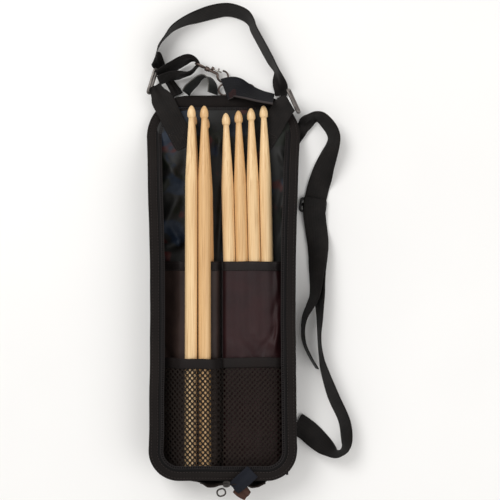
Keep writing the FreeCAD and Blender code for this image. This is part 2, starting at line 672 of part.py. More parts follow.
def make_snap(side, eye, along, eye_turn):
    """Swivelling bolt snap: an eye with its collar, a hook that turns on it, and the bolt."""
    place = turned_frame(eye, along, (0, 0, 1))
    turned = place.multiply(Placement(Vector(0, 0, 0), Rotation(Vector(1, 0, 0), eye_turn)))
    bolt_y = 3.3
    eye_ring = doc.addObject("Part::Torus", "EyeRing" + side)
    eye_ring.Radius1 = 6.0
    bind(eye_ring, Radius2="hook_wire / 2")
    eye_ring.Placement = turned
    collar = cylinder("EyeCollar" + side, 2.9, 4.0, (6.2, 0, 0), place)
    node(fuse("SwivelEye" + side, [eye_ring, collar]), "swivel_eye_" + side.lower())

    shaft = cylinder("HookShaft" + side, 1.7, 12.4, (10.4, 0, 0), place)
    flange = cylinder("HookFlange" + side, 2.3, 1.4, (10.4, 0, 0), place)
    bow = doc.addObject("Part::Torus", "HookBow" + side)
    bow.Radius1 = 6.2
    bind(bow, Radius2="hook_wire / 2")
    bow.Angle3 = 285
    bow.Placement = place.multiply(Placement(Vector(28.4, 0, 0), Rotation(Vector(0, 0, 1), 180)))
    guide_outer = cylinder("GuideOuter" + side, 1.8, 3.0, (12.6, bolt_y, 0), place)
    guide_inner = cylinder("GuideInner" + side, 1.1, 6.0, (11.6, bolt_y, 0), place)
    bored = boolean("Cut", "HookGuide" + side,
                    fuse("HookSolid" + side, [shaft, flange, bow, guide_outer]), guide_inner)
    node(bored, "snap_hook_" + side.lower())

    bolt = cylinder("BoltRod" + side, 0.9, 11.2, (14.0, bolt_y, 0), place)
    knob = cylinder("BoltKnob" + side, 1.4, 1.6, (20.2, bolt_y, 0), place)
    node(fuse("SnapBolt" + side, [bolt, knob]), "snap_bolt_" + side.lower())


def make_strap_slider():
    """Flat three-bar slider that rides over the shoulder strap."""
    body = doc.addObject("PartDesign::Body", "StrapSlider")
    sketch = body.newObject("Sketcher::SketchObject", "slider_frame_outline")
    plane = [item for item in body.Origin.OriginFeatures if item.Role == "XY_Plane"][0]
    sketch.AttachmentSupport = [(plane, "")]
    sketch.MapMode = "FlatFace"
    rectangles = [
        ("Sizes.webbing_width / 2 + 3", "8.5", 0.0),
        ("Sizes.webbing_width / 2 + 0.5", "2.5", 4.0),
        ("Sizes.webbing_width / 2 + 0.5", "2.5", -4.0)]
    for number, (half_x, half_y, middle) in enumerate(rectangles):
        x = float(str(sheet.evalExpression(half_x)))
        y = float(half_y)
        corners = [Vector(-x, middle - y, 0), Vector(x, middle - y, 0),
                   Vector(x, middle + y, 0), Vector(-x, middle + y, 0)]
        base = number * 4
        for index in range(4):
            sketch.addGeometry(Part.LineSegment(corners[index], corners[(index + 1) % 4]), False)
        for index in range(4):
            sketch.addConstraint(
                Sketcher.Constraint("Coincident", base + index, 2, base + (index + 1) % 4, 1))
        for index, kind in enumerate(("Horizontal", "Vertical", "Horizontal", "Vertical")):
            sketch.addConstraint(Sketcher.Constraint(kind, base + index))
        for corner, sign in ((0, -1), (2, 1)):
            tag = sketch.addConstraint(Sketcher.Constraint(
                "DistanceX", -1, 1, base + corner, 1, corners[corner].x))
            sketch.setExpression("Constraints[%d]" % tag, "%d * ( %s )" % (sign, half_x))
            sketch.addConstraint(Sketcher.Constraint(
                "DistanceY", -1, 1, base + corner, 1, corners[corner].y))
    pad = body.newObject("PartDesign::Pad", "slider_frame_plate")
    pad.Profile = sketch
    pad.Length = 2.4
    body.Placement = Placement(Vector(101.7, 90.5, 2.1), Rotation(Vector(0, 0, 1), -6.0))
    node(body, "strap_slider")


def make_zip_end():
    """Zip slider parked on the fold, its pull ring, and the folded fabric tab beside them."""
    height = size("slider_height")
    fold_y = -size("tray_half_length + fold_axis_offset")
    body = doc.addObject("Part::Box", "SliderBlock")
    body.Length = 8.0
    body.Width = 7.6
    body.Height = 3.6
    body.Placement = Placement(Vector(0.2, fold_y - 4.0, height - 1.8), Rotation())
    rounded = doc.addObject("Part::Fillet", "ZipSlider")
    rounded.Base = body
    doc.recompute()
    rounded.Edges = [(number, 1.0, 1.0) for number in range(1, 13)]
    node(rounded, "zip_slider")

    frame = wire_frame(11.0, 9.6, 1.8, 3.6)
    pull = turned_frame((-1.6, fold_y - 9.5, height), (0.96, 0.28, 0.0), (0, 0, 1))
    node(plain("ZipPull", frame, pull), "zip_pull")

    tab = [
        (33.0, fold_y + 13.4, height - 1.2, 0, 17.0), (27.0, fold_y + 7.8, height - 0.8, 0, 17.0),
        (19.6, fold_y + 1.0, height - 1.7, 0, 17.0), (12.0, fold_y - 6.0, height - 4.2, 0, 16.0)]
    node(plain("PullTab", ribbon(tab)), "pull_tab")
    backing = [
        (16.0, fold_y - 4.6, height - 6.6, 0, 15.0), (21.4, fold_y - 9.8, height - 7.2, 0, 15.0),
        (27.4, fold_y - 15.2, height - 8.0, 0, 11.0)]
    node(plain("PullTabBacking", ribbon(backing)), "pull_tab_backing")


make_tray()
make_pockets()
make_cover()
make_sticks()
make_webbing()
make_rings()
make_snap("Left", (-26.1, 248.5, 12.3), (0.86, -0.38, -0.24), 90)
make_snap("Right", (28.9, 222.2, 4.4), (-1.0, 0.0, 0.0), 0)
make_strap_slider()
make_zip_end()

doc.recompute()
for feature in doc.Objects:
    states = set(feature.State)
    if states & {"Invalid", "Error"}:
        raise RuntimeError("failed feature: " + feature.Label)
for feature in node_features:
    if feature.Shape.isNull() or not feature.Shape.isValid():
        raise RuntimeError("bad shape: " + feature.Label)
os.makedirs("parts", exist_ok=True)
for feature in node_features:
    feature.Shape.exportStep("parts/" + feature.Label + ".step")
    bound = feature.Shape.BoundBox
    print("%-24s solids %d  volume %9.0f  x %7.1f %7.1f  y %7.1f %7.1f  z %6.1f %6.1f" % (
        feature.Label, len(feature.Shape.Solids), feature.Shape.Volume,
        bound.XMin, bound.XMax, bound.YMin, bound.YMax, bound.ZMin, bound.ZMax))
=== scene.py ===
import math
import random

import bpy
from mathutils import Matrix, Quaternion, Vector, noise


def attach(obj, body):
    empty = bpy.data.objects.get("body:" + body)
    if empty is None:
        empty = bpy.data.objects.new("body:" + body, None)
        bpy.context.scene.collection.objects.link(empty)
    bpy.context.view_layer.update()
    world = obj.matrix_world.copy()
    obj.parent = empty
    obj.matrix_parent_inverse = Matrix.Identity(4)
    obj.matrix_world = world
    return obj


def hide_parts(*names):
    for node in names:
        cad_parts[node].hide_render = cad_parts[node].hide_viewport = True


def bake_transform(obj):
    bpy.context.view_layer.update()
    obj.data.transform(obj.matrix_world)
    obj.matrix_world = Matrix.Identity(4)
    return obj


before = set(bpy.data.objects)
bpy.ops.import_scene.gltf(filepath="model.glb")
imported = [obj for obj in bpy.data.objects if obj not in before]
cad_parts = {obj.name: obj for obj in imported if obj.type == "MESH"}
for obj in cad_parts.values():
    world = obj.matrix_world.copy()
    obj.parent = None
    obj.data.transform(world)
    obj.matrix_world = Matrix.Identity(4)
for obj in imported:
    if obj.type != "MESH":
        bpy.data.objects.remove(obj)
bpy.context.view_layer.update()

MM = 0.001
random.seed(11)
scene = bpy.context.scene

# ================================================================ camera, light and floor
STICK_PLANE = 0.036
VIEW_WIDTH = 0.556
VIEW_HEIGHT = 1.35
VIEW_CENTRE = (0.030, 0.040)


def make_camera():
    """Straight above the bag, far enough off that the picture is nearly flat."""
    data = bpy.data.cameras.new("camera")
    data.sensor_width = 36.0
    data.lens = data.sensor_width * VIEW_HEIGHT / VIEW_WIDTH
    camera = bpy.data.objects.new("camera", data)
    camera.location = (VIEW_CENTRE[0], VIEW_CENTRE[1], STICK_PLANE + VIEW_HEIGHT)
    scene.collection.objects.link(camera)
    scene.camera = camera


def make_light(name, place, extent, power, aim=(0.0, 0.0, 0.0)):
    data = bpy.data.lights.new(name, "AREA")
    data.size = extent
    data.energy = power
    lamp = bpy.data.objects.new(name, data)
    lamp.location = place
    lamp.rotation_euler = (Vector(aim) - Vector(place)).to_track_quat("-Z", "Y").to_euler()
    scene.collection.objects.link(lamp)


def make_studio():
    scene.view_settings.view_transform = "Standard"
    world = bpy.data.worlds.new("studio")
    scene.world = world
    world.use_nodes = True
    background = world.node_tree.nodes["Background"]
    background.inputs["Color"].default_value = (1.0, 0.99, 0.98, 1.0)
    background.inputs["Strength"].default_value = 0.62
    make_light("key", (-0.9, 1.0, 1.7), 1.1, 22.0)
    make_light("fill", (1.2, -0.5, 1.5), 1.4, 9.0)


make_camera()
make_studio()


# ================================================================ materials
def rgb(red, green, blue):
    """An 8-bit display colour as linear light."""
    linear = []
    for value in (red, green, blue):
        share = value / 255.0
        linear.append(share / 12.92 if share <= 0.04045 else ((share + 0.055) / 1.055) ** 2.4)
    return (*linear, 1.0)


class Finish:
    """A node material that is built up one node at a time."""

    def __init__(self, name, **sockets):
        self.material = bpy.data.materials.new(name)
        self.material.use_nodes = True
        self.nodes = self.material.node_tree.nodes
        self.links = self.material.node_tree.links
        self.shader = self.nodes["Principled BSDF"]
        for socket, value in sockets.items():
            self.shader.inputs[socket.replace("_", " ")].default_value = value

    def add(self, kind, values=None, **settings):
        made = self.nodes.new("ShaderNode" + kind)
        for key, value in settings.items():
            setattr(made, key, value)
        for key, value in (values or {}).items():
            made.inputs[key].default_value = value
        return made

    def join(self, source, target):
        self.links.new(source, target)

    def place(self, scale=(1.0, 1.0, 1.0), source="Object", turn=(0.0, 0.0, 0.0)):
        """Texture coordinates, scaled. Object coordinates are metres in the row frame."""
        coordinates = self.add("TexCoord")
        mapping = self.add("Mapping", {"Scale": scale, "Rotation": turn})
        self.join(coordinates.outputs[source], mapping.inputs["Vector"])
        return mapping.outputs["Vector"]

    def noise(self, where, scale, detail=3.0, rough=0.55):
        made = self.add("TexNoise", {"Scale": scale, "Detail": detail, "Roughness": rough})
        self.join(where, made.inputs["Vector"])
        return made.outputs["Fac"]

    def wave(self, where, pitch, direction="X", warp=0.0):
        """Stripes a given number of coordinate units apart."""
        made = self.add("TexWave", {"Scale": 0.314 / pitch, "Distortion": warp,
                                    "Detail": 1.0, "Detail Scale": 1.0},
                        bands_direction=direction)
        self.join(where, made.inputs["Vector"])
        return made.outputs["Fac"]

    def math(self, operation, first, second=0.0):
        made = self.add("Math", operation=operation)
        for index, value in enumerate((first, second)):
            if isinstance(value, (int, float)):
                made.inputs[index].default_value = value
            else:
                self.join(value, made.inputs[index])
        return made.outputs[0]

    def ramp(self, factor, *stops):
        made = self.add("ValToRGB")
        points = made.color_ramp.elements
        points[0].position, points[0].color = stops[0]
        points[1].position, points[1].color = stops[-1]
        for position, colour in stops[1:-1]:
            points.new(position).color = colour
        self.join(factor, made.inputs["Fac"])
        return made.outputs["Color"]

    def mix(self, factor, first, second):
        made = self.add("MixRGB")
        for index, value in enumerate((factor, first, second)):
            if isinstance(value, (int, float, tuple)):
                made.inputs[index].default_value = value
            else:
                self.join(value, made.inputs[index])
        return made.outputs[0]

    def colour(self, source):
        self.join(source, self.shader.inputs["Base Color"])

    def rough(self, factor, low, high):
        spread = self.add("MapRange", {"To Min": low, "To Max": high})
        self.join(factor, spread.inputs["Value"])
        self.join(spread.outputs["Result"], self.shader.inputs["Roughness"])

    def bump(self, height, depth, strength=1.0):
        """Relief, with the depth of the full height in millimetres."""
        made = self.add("Bump", {"Strength": strength, "Distance": depth * MM})
        self.join(height, made.inputs["Height"])
        self.join(made.outputs["Normal"], self.shader.inputs["Normal"])


def weave_height(finish, pitch):
    """Plain weave from two sets of threads, in object coordinates."""
    where = finish.place()
    warp = finish.wave(where, pitch, "X")
    weft = finish.wave(where, pitch, "Y")
    return finish.math("MAXIMUM", warp, weft)


def woven(name, dark, light, rough, pitch, depth, sheen, blotch=18.0):
    """Matt woven cloth whose colour wanders a little."""
    finish = Finish(name, Sheen_Weight=sheen, Sheen_Roughness=0.45, Specular_IOR_Level=0.18)
    where = finish.place()
    wander = finish.noise(where, blotch, 4.0)
    fine = finish.noise(where, 900.0, 2.0)
    shade = finish.math("ADD", finish.math("MULTIPLY", wander, 0.7), finish.math("MULTIPLY", fine, 0.3))
    finish.colour(finish.ramp(shade, (0.30, dark), (0.70, light)))
    finish.rough(fine, rough - 0.08, rough + 0.08)
    finish.bump(weave_height(finish, pitch), depth)
    return finish.material


def satin_lining():
    """Dark satin with large soft camouflage blotches."""
    finish = Finish("lining_satin", Sheen_Weight=0.03, Sheen_Roughness=0.35, Specular_IOR_Level=0.22)
    where = finish.place()
    base = finish.ramp(finish.noise(where, 20.0, 3.0), (0.35, rgb(20, 21, 20)), (0.65, rgb(34, 34, 33)))
    blue = finish.ramp(finish.noise(finish.place(turn=(0.0, 0.0, 0.7)), 27.0, 2.0),
                       (0.54, (0, 0, 0, 1)), (0.60, (1, 1, 1, 1)))
    olive = finish.ramp(finish.noise(finish.place(turn=(0.3, 0.0, 1.9)), 31.0, 2.0),
                        (0.57, (0, 0, 0, 1)), (0.62, (1, 1, 1, 1)))
    maroon = finish.ramp(finish.noise(finish.place(turn=(1.1, 0.0, 2.8)), 29.0, 2.0),
                         (0.59, (0, 0, 0, 1)), (0.64, (1, 1, 1, 1)))
    tone = finish.mix(blue, base, rgb(26, 36, 50))
    tone = finish.mix(olive, tone, rgb(20, 24, 17))
    tone = finish.mix(maroon, tone, rgb(60, 22, 20))
    finish.colour(tone)
    finish.rough(finish.noise(where, 60.0, 3.0), 0.40, 0.56)
    finish.bump(finish.wave(finish.place(turn=(0.0, 0.0, 0.785)), 0.0006), 0.05)
    return finish.material


def satin_pocket(name, dark, light, rough=0.42):
    finish = Finish(name, Sheen_Weight=0.05, Sheen_Roughness=0.35, Specular_IOR_Level=0.25)
    where = finish.place()
    finish.colour(finish.ramp(finish.noise(where, 22.0, 4.0), (0.34, dark), (0.66, light)))
    finish.rough(finish.noise(where, 45.0, 3.0), rough - 0.06, rough + 0.10)
    finish.bump(finish.wave(finish.place(turn=(0.0, 0.0, 0.785)), 0.0006), 0.05)
    return finish.material


def webbing_cloth(name, dark, light, edge=None, back=None):
    """Ribbed webbing. U runs across the band and V along it, both in widths of the band."""
    finish = Finish(name, Sheen_Weight=0.03, Sheen_Roughness=0.5, Specular_IOR_Level=0.18)
    where = finish.place(source="UV")
    wander = finish.noise(where, 1.6, 4.0)
    ribs = finish.wave(where, 0.055, "Y")
    cords = finish.wave(where, 0.11, "X")
    weave = finish.math("ADD", finish.math("MULTIPLY", ribs, 0.65), finish.math("MULTIPLY", cords, 0.35))
    tone = finish.ramp(wander, (0.32, dark), (0.68, light))
    # Painted shade: the colour darkens towards 0.55 of the dark tone in the grooves between ribs and cords.
    deep = tuple(0.55 * c for c in dark[:3]) + (1.0,)
    shade = finish.ramp(weave, (0.10, (0.55, 0.55, 0.55, 1.0)), (0.55, (1.0, 1.0, 1.0, 1.0)))
    tone = finish.mix(shade, deep, tone)
    if back is not None:
        facing = finish.add("NewGeometry").outputs["Normal"]
        split = finish.add("SeparateXYZ")
        finish.join(facing, split.inputs[0])
        side = finish.math("LESS_THAN", split.outputs["X"], -0.35)
        tone = finish.mix(side, tone, back)
    # Lighter colour on the outermost edges of the band; on the teal band this is a painted highlight along
    # its edges.
    if edge is not None:
        split = finish.add("SeparateXYZ")
        finish.join(where, split.inputs[0])
        away = finish.math("ABSOLUTE", finish.math("SUBTRACT", split.outputs["X"], 0.5))
        tone = finish.mix(finish.math("GREATER_THAN", away, 0.472), tone, edge)
    finish.colour(tone)
    finish.rough(weave, 0.72, 0.58)
    finish.bump(weave, 0.22)
    return finish.material


def plain_plastic(name, colour, rough, grain=0.03):
    finish = Finish(name, Specular_IOR_Level=0.25)
    where = finish.place()
    speck = finish.noise(where, 700.0, 2.0)
    brighter = tuple(min(1.0, 1.5 * c + 0.004) for c in colour[:3]) + (1.0,)
    finish.colour(finish.ramp(speck, (0.3, colour), (0.8, brighter)))
    finish.rough(speck, rough - 0.08, rough + 0.12)
    finish.bump(speck, grain)
    return finish.material


def hickory(name, pale, mid, dark):
    """Lacquered wood whose grain runs along Y, with a few darker streaks and pores."""
    finish = Finish(name, Coat_Weight=0.25, Coat_Roughness=0.25, Specular_IOR_Level=0.4)
    along = finish.place((1.0, 0.018, 1.0))
    bands = finish.noise(along, 230.0, 4.0, 0.6)
    fibres = finish.noise(finish.place((1.0, 0.012, 1.0)), 1500.0, 3.0, 0.6)
    streaks = finish.noise(finish.place((1.0, 0.03, 1.0)), 520.0, 2.0)
    tone = finish.ramp(bands, (0.30, mid), (0.55, pale), (0.78, mid))
    tone = finish.mix(finish.ramp(streaks, (0.56, (0, 0, 0, 1)), (0.74, (0.65, 0.65, 0.65, 1))), tone, dark)
    pores = finish.ramp(fibres, (0.32, (0.60, 0.60, 0.60, 1)), (0.50, (0, 0, 0, 1)))
    tone = finish.mix(pores, tone, dark)
    finish.colour(tone)
    finish.rough(bands, 0.36, 0.50)
    finish.bump(fibres, 0.03)
    return finish.material


def plated(name, colour, rough):
    finish = Finish(name, Metallic=1.0)
    where = finish.place()
    wear = finish.noise(where, 260.0, 4.0)
    darker = tuple(0.55 * c for c in colour[:3]) + (1.0,)
    finish.colour(finish.ramp(wear, (0.35, darker), (0.60, colour)))
    finish.rough(wear, rough + 0.18, rough)
    finish.bump(wear, 0.03)
    return finish.material


SHELL = woven("shell_nylon", rgb(20, 18, 17), rgb(29, 26, 25), 0.80, 0.0008, 0.10, 0.03)
BORDER = woven("border_cloth", rgb(17, 13, 12), rgb(27, 22, 20), 0.82, 0.0009, 0.12, 0.03)
LINING = satin_lining()
POCKET = satin_pocket("pocket_satin", rgb(26, 7, 9), rgb(45, 19, 21), 0.46)
# Lighter copy of the pocket satin for the left pocket: painted light that makes up for the shade the sticks
# cast on it.
POCKET_LEFT_PAINTED_LIGHT = satin_pocket("pocket_satin_left_painted_light", rgb(44, 33, 30), rgb(62, 48, 43), 0.46)
HEM = satin_pocket("pocket_hem_satin", rgb(18, 12, 11), rgb(29, 21, 20), 0.60)
BINDING = satin_pocket("mesh_binding_cloth", rgb(14, 8, 7), rgb(22, 14, 12), 0.70)
KNIT = woven("mesh_knit", rgb(23, 18, 15), rgb(40, 31, 26), 0.75, 0.0005, 0.10, 0.03)
WEBBING = webbing_cloth("webbing_black", rgb(16, 13, 12), rgb(28, 24, 22))
WEBBING_NAVY = webbing_cloth("webbing_navy", rgb(11, 11, 14), rgb(20, 20, 25),
                             edge=rgb(60, 55, 55), back=rgb(38, 20, 21))
# The teal band's light edge colour is a painted highlight along its edges.
WEBBING_TEAL = webbing_cloth("webbing_teal", rgb(18, 21, 21), rgb(30, 32, 30), edge=rgb(88, 86, 82))
TAPE = woven("zip_tape_cloth", rgb(15, 14, 14), rgb(23, 21, 21), 0.78, 0.0007, 0.08, 0.03)
COIL = plain_plastic("zip_coil_nylon", rgb(27, 23, 23), 0.55)
THREAD = plain_plastic("thread", rgb(44, 38, 36), 0.62)
ACETAL = plain_plastic("black_acetal", rgb(26, 24, 24), 0.38)
HICKORY = [
    hickory("hickory_pale", rgb(224, 184, 131), rgb(212, 168, 115), rgb(178, 132, 82)),
    hickory("hickory_cream", rgb(238, 205, 156), rgb(226, 188, 137), rgb(188, 143, 92)),
    hickory("hickory_amber", rgb(216, 170, 117), rgb(203, 153, 99), rgb(168, 118, 71)),
]
NICKEL = plated("nickel", rgb(205, 200, 194), 0.22)
COPPER_NICKEL = plated("snap_nickel", rgb(118, 103, 96), 0.30)
DARK_METAL = plated("zip_gunmetal", rgb(78, 74, 72), 0.32)
# Darker copy of the nickel plating for the rings: painted shade, so the plated rings read dark.
RING_METAL_PAINTED_SHADE = plated("ring_nickel_painted_shade", rgb(128, 122, 118), 0.34)
TAB_NAVY = woven("tab_navy_twill", rgb(13, 15, 22), rgb(22, 25, 34), 0.66, 0.0007, 0.10, 0.03)
TAB_BROWN = woven("tab_brown_twill", rgb(58, 38, 31), rgb(78, 52, 42), 0.62, 0.0007, 0.10, 0.03)


# ================================================================ mesh helpers, in millimetres
def piece(name, points, faces, material, body, nodes=(), slot=None, uvs=None, smooth=True):
    """A mesh from points in millimetres that rides on a body and may stand for CAD nodes."""
    mesh = bpy.data.meshes.new(name)
    mesh.from_pydata([Vector(p) * MM for p in points], [], faces)
    mesh.validate()
    mesh.materials.append(material)
    for polygon in mesh.polygons:
        polygon.use_smooth = smooth
    if uvs is not None:
        layer = mesh.uv_layers.new(name="UVMap")
        for loop in mesh.loops:
            layer.data[loop.index].uv = uvs[loop.vertex_index]
    made = bpy.data.objects.new(name, mesh)
    scene.collection.objects.link(made)
    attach(made, body)
    if nodes:
        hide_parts(*nodes)
    return made


def apply_modifiers(made):
    """Bakes the modifiers of a piece into its mesh."""
    bpy.context.view_layer.update()
    graph = bpy.context.evaluated_depsgraph_get()
    mesh = bpy.data.meshes.new_from_object(made.evaluated_get(graph))
    made.modifiers.clear()
    made.data = mesh
    for polygon in mesh.polygons:
        polygon.use_smooth = True


def thicken(made, thick, offset=0.0, rounds=0):
    """Turns an open skin into a closed sheet; offset 1 grows it along its normals."""
    shell = made.modifiers.new("thick", "SOLIDIFY")
    shell.thickness = thick * MM
    shell.offset = offset
    shell.use_even_offset = False
    if rounds:
        made.modifiers.new("round", "SUBSURF").levels = rounds
    apply_modifiers(made)


def grid_faces(rows, columns, wrap_rows=False, wrap_columns=False):
    faces = []
    for row in range(rows if wrap_rows else rows - 1):
        for column in range(columns if wrap_columns else columns - 1):
            next_row = (row + 1) % rows
            next_column = (column + 1) % columns
            faces.append((row * columns + column, row * columns + next_column,
                          next_row * columns + next_column, next_row * columns + column))
    return faces


def merge(parts):
    """One list of points and faces from several."""
    points = []
    faces = []
    for part_points, part_faces in parts:
        start = len(points)
        points += part_points
        faces += [tuple(index + start for index in face) for face in part_faces]
    return points, faces


def tube(path, radius, sides=10, closed=False, flat=1.0, normal=None):
    """Round bar along a path; flat under 1 squeezes it along its frame's second direction."""
    path = [Vector(p) for p in path]
    count = len(path)
    points = []
    across = None
    for index, place in enumerate(path):
        before = path[(index - 1) % count] if closed or index else place
        after = path[(index + 1) % count] if closed or index < count - 1 else place
        heading = (after - before).normalized()
        if normal is not None:
            up = Vector(normal)
            across = up.cross(heading).normalized()
        elif across is None:
            across = heading.orthogonal().normalized()
        else:
            across = (across - heading * across.dot(heading)).normalized()
        rise = heading.cross(across)
        size = radius[index] if isinstance(radius, (list, tuple)) else radius
        for side in range(sides):
            turn = 2 * math.pi * side / sides
            points.append(place + across * (size * math.cos(turn)) + rise * (size * flat * math.sin(turn)))
    faces = grid_faces(count, sides, closed, True)
    if not closed:
        faces.append(tuple(range(sides))[::-1])
        faces.append(tuple(range((count - 1) * sides, count * sides)))
    return points, faces


def lathe(profile, place, sides=28):
    """Turned solid: profile is (along, radius) pairs and place a matrix whose X is the axis."""
    points = []
    for along, radius in profile:
        for side in range(sides):
            turn = 2 * math.pi * side / sides
            points.append(place @ Vector((along, radius * math.cos(turn), radius * math.sin(turn))))
    faces = grid_faces(len(profile), sides, False, True)
    faces.append(tuple(range(sides))[::-1])
    faces.append(tuple(range((len(profile) - 1) * sides, len(profile) * sides)))
    return points, faces


def blob(place, half, sides=8, rings=4):
    """Ellipsoid with its three half sizes along the columns of a matrix."""
    points = [place @ Vector((0, 0, -half[2]))]
    for ring in range(1, rings):
        lift = -math.cos(math.pi * ring / rings)
        out = math.sin(math.pi * ring / rings)
        for side in range(sides):
            turn = 2 * math.pi * side / sides
            points.append(place @ Vector((half[0] * out * math.cos(turn),
                                          half[1] * out * math.sin(turn), half[2] * lift)))
    points.append(place @ Vector((0, 0, half[2])))
    last = len(points) - 1
    faces = []
    for side in range(sides):
        following = (side + 1) % sides
        faces.append((0, 1 + following, 1 + side))
        faces.append((last, last - sides + side, last - sides + following))
        for ring in range(rings - 2):
            low = 1 + ring * sides
            faces.append((low + side, low + following, low + sides + following, low + sides + side))
    return points, faces


def frame_matrix(origin, along, upward):
    """Matrix whose X runs along a direction, with its Z as near upward as it goes."""
    x_way = Vector(along).normalized()
    y_way = Vector(upward).cross(x_way).normalized()
    z_way = x_way.cross(y_way)
    matrix = Matrix((x_way, y_way, z_way)).transposed().to_4x4()
    matrix.translation = Vector(origin)
    return matrix


def walk(path, pitch, start=0.0):
    """Points and headings every pitch along a chain of points."""
    path = [Vector(p) for p in path]
    due = start
    passed = 0.0
    for near, far in zip(path, path[1:]):
        length = (far - near).length
        while due < passed + length:
            yield near.lerp(far, (due - passed) / length), (far - near).normalized()
            due += pitch
        passed += length


def stitches(path, length=2.3, gap=1.1, thick=0.36, up=(0.0, 0.0, 1.0)):
    """A row of stitches lying on a path."""
    parts = []
    for place, heading in walk(path, length + gap, gap):
        matrix = frame_matrix(place, heading, up)
        parts.append(blob(matrix, (length / 2, thick, thick), 6, 4))
    return merge(parts)


def smoothstep(low, high, value):
    share = min(1.0, max(0.0, (value - low) / (high - low)))
    return share * share * (3 - 2 * share)


def wander(x, y, z=0.0, scale=30.0, seed=0.0):
    """Smooth noise from about -1 to 1, with features about scale millimetres wide."""
    return noise.noise(Vector((x / scale + seed, y / scale - seed * 0.7, z / scale + 3.1 * seed)))


def crease(x, y, start, end, width):
    """1 on a segment, falling off over width and towards its ends."""
    along = Vector((end[0] - start[0], end[1] - start[1]))
    away = Vector((x - start[0], y - start[1]))
    share = away.dot(along) / along.length_squared
    if share < -0.3 or share > 1.3:
        return 0.0
    distance = abs(away.x * along.y - away.y * along.x) / along.length
    ends = smoothstep(-0.3, 0.25, share) * (1 - smoothstep(0.75, 1.3, share))
    return math.exp(-(distance / width) ** 2) * ends


def creased(x, y, creases):
    """Height of a list of (start, end, width, height) creases."""
    return sum(height * crease(x, y, start, end, width) for start, end, width, height in creases)


def through(stations, value):
    """Smooth curve through (position, height) stations."""
    last = len(stations) - 1
    if value <= stations[0][0]:
        return stations[0][1]
    if value >= stations[last][0]:
        return stations[last][1]
    index = next(i for i in range(last) if value <= stations[i + 1][0])
    x0, y0 = stations[index]
    x1, y1 = stations[index + 1]

    def slope(i):
        if i == 0 or i == last:
            return 0.0
        left = (stations[i][1] - stations[i - 1][1]) / (stations[i][0] - stations[i - 1][0])
        right = (stations[i + 1][1] - stations[i][1]) / (stations[i + 1][0] - stations[i][0])
        return 0.0 if left * right <= 0 else 2 * left * right / (left + right)

    width = x1 - x0
    t = (value - x0) / width
    return ((2 * t ** 3 - 3 * t ** 2 + 1) * y0 + (t ** 3 - 2 * t ** 2 + t) * width * slope(index)
            + (3 * t ** 2 - 2 * t ** 3) * y1 + (t ** 3 - t ** 2) * width * slope(index + 1))


# ================================================================ the tray's outline and rim
HALF_LENGTH = 214.6
TOP_X, WAIST_X, FOOT_X = 85.8, 79.8, 81.5
TOP_RADIUS, FOOT_RADIUS = 46.0, 33.0
TOP_Y = HALF_LENGTH - TOP_RADIUS
FOOT_Y = FOOT_RADIUS - HALF_LENGTH
RIM_HIGH, RIM_LOW = 46.0, 9.7
FALL_START, FALL_END = 90.0, 198.0
PANEL_LOW = 4.3
LINING_TOP = 12.3


def flank(y):
    """Half width of the tray between its corners."""
    middle = (FOOT_Y + TOP_Y) / 2
    half = (TOP_Y - FOOT_Y) / 2
    share = (y - middle) / half
    end = TOP_X if share > 0 else FOOT_X
    return WAIST_X + (end - WAIST_X) * share * share


def half_width(y, inset):
    """Half width of the tray at any Y, for its outline moved inwards."""
    if y > TOP_Y:
        radius = max(TOP_RADIUS - inset, 0.1)
        return TOP_X - TOP_RADIUS + math.sqrt(max(radius ** 2 - (y - TOP_Y) ** 2, 0.0))
    if y < FOOT_Y:
        radius = max(FOOT_RADIUS - inset, 0.1)
        return FOOT_X - FOOT_RADIUS + math.sqrt(max(radius ** 2 - (FOOT_Y - y) ** 2, 0.0))
    return flank(y) - inset


def half_outline():
    """Stations of the right half, from the foot's middle to the top's: where and outwards."""
    stations = []
    for step in range(13):
        stations.append((Vector(((FOOT_X - FOOT_RADIUS) * step / 13, -HALF_LENGTH, 0)), Vector((0, -1, 0))))
    for step in range(15):
        turn = math.radians(-90 + 90 * step / 15)
        way = Vector((math.cos(turn), math.sin(turn), 0))
        stations.append((Vector((FOOT_X - FOOT_RADIUS, FOOT_Y, 0)) + way * FOOT_RADIUS, way))
    for step in range(90):
        y = FOOT_Y + (TOP_Y - FOOT_Y) * step / 90
        stations.append((Vector((flank(y), y, 0)), Vector((1, 0, 0))))
    for step in range(20):
        turn = math.radians(90 * step / 20)
        way = Vector((math.cos(turn), math.sin(turn), 0))
        stations.append((Vector((TOP_X - TOP_RADIUS, TOP_Y, 0)) + way * TOP_RADIUS, way))
    for step in range(11):
        stations.append((Vector(((TOP_X - TOP_RADIUS) * (1 - step / 10), HALF_LENGTH, 0)), Vector((0, 1, 0))))
    return stations


def whole_outline():
    right = half_outline()
    left = [(Vector((-p.x, p.y, 0)), Vector((-n.x, n.y, 0))) for p, n in right[1:-1]]
    return right + left[::-1]


OUTLINE = whole_outline()


def rim_height(y):
    """Level along the sides, then an even double curve down to the flat hem at the top."""
    share = min(1.0, max(0.0, (y - FALL_START) / (FALL_END - FALL_START)))
    fallen = 2 * share ** 2 if share < 0.5 else 1 - 2 * (1 - share) ** 2
    return RIM_HIGH - (RIM_HIGH - RIM_LOW) * fallen


def rim_sway(place):
    """Inward and upward unevenness of the sewn rim, in millimetres."""
    inward = 0.55 * wander(place.x, place.y, scale=42.0, seed=1.0)
    upward = 0.7 * wander(place.x, place.y, scale=50.0, seed=2.0)
    return inward, upward


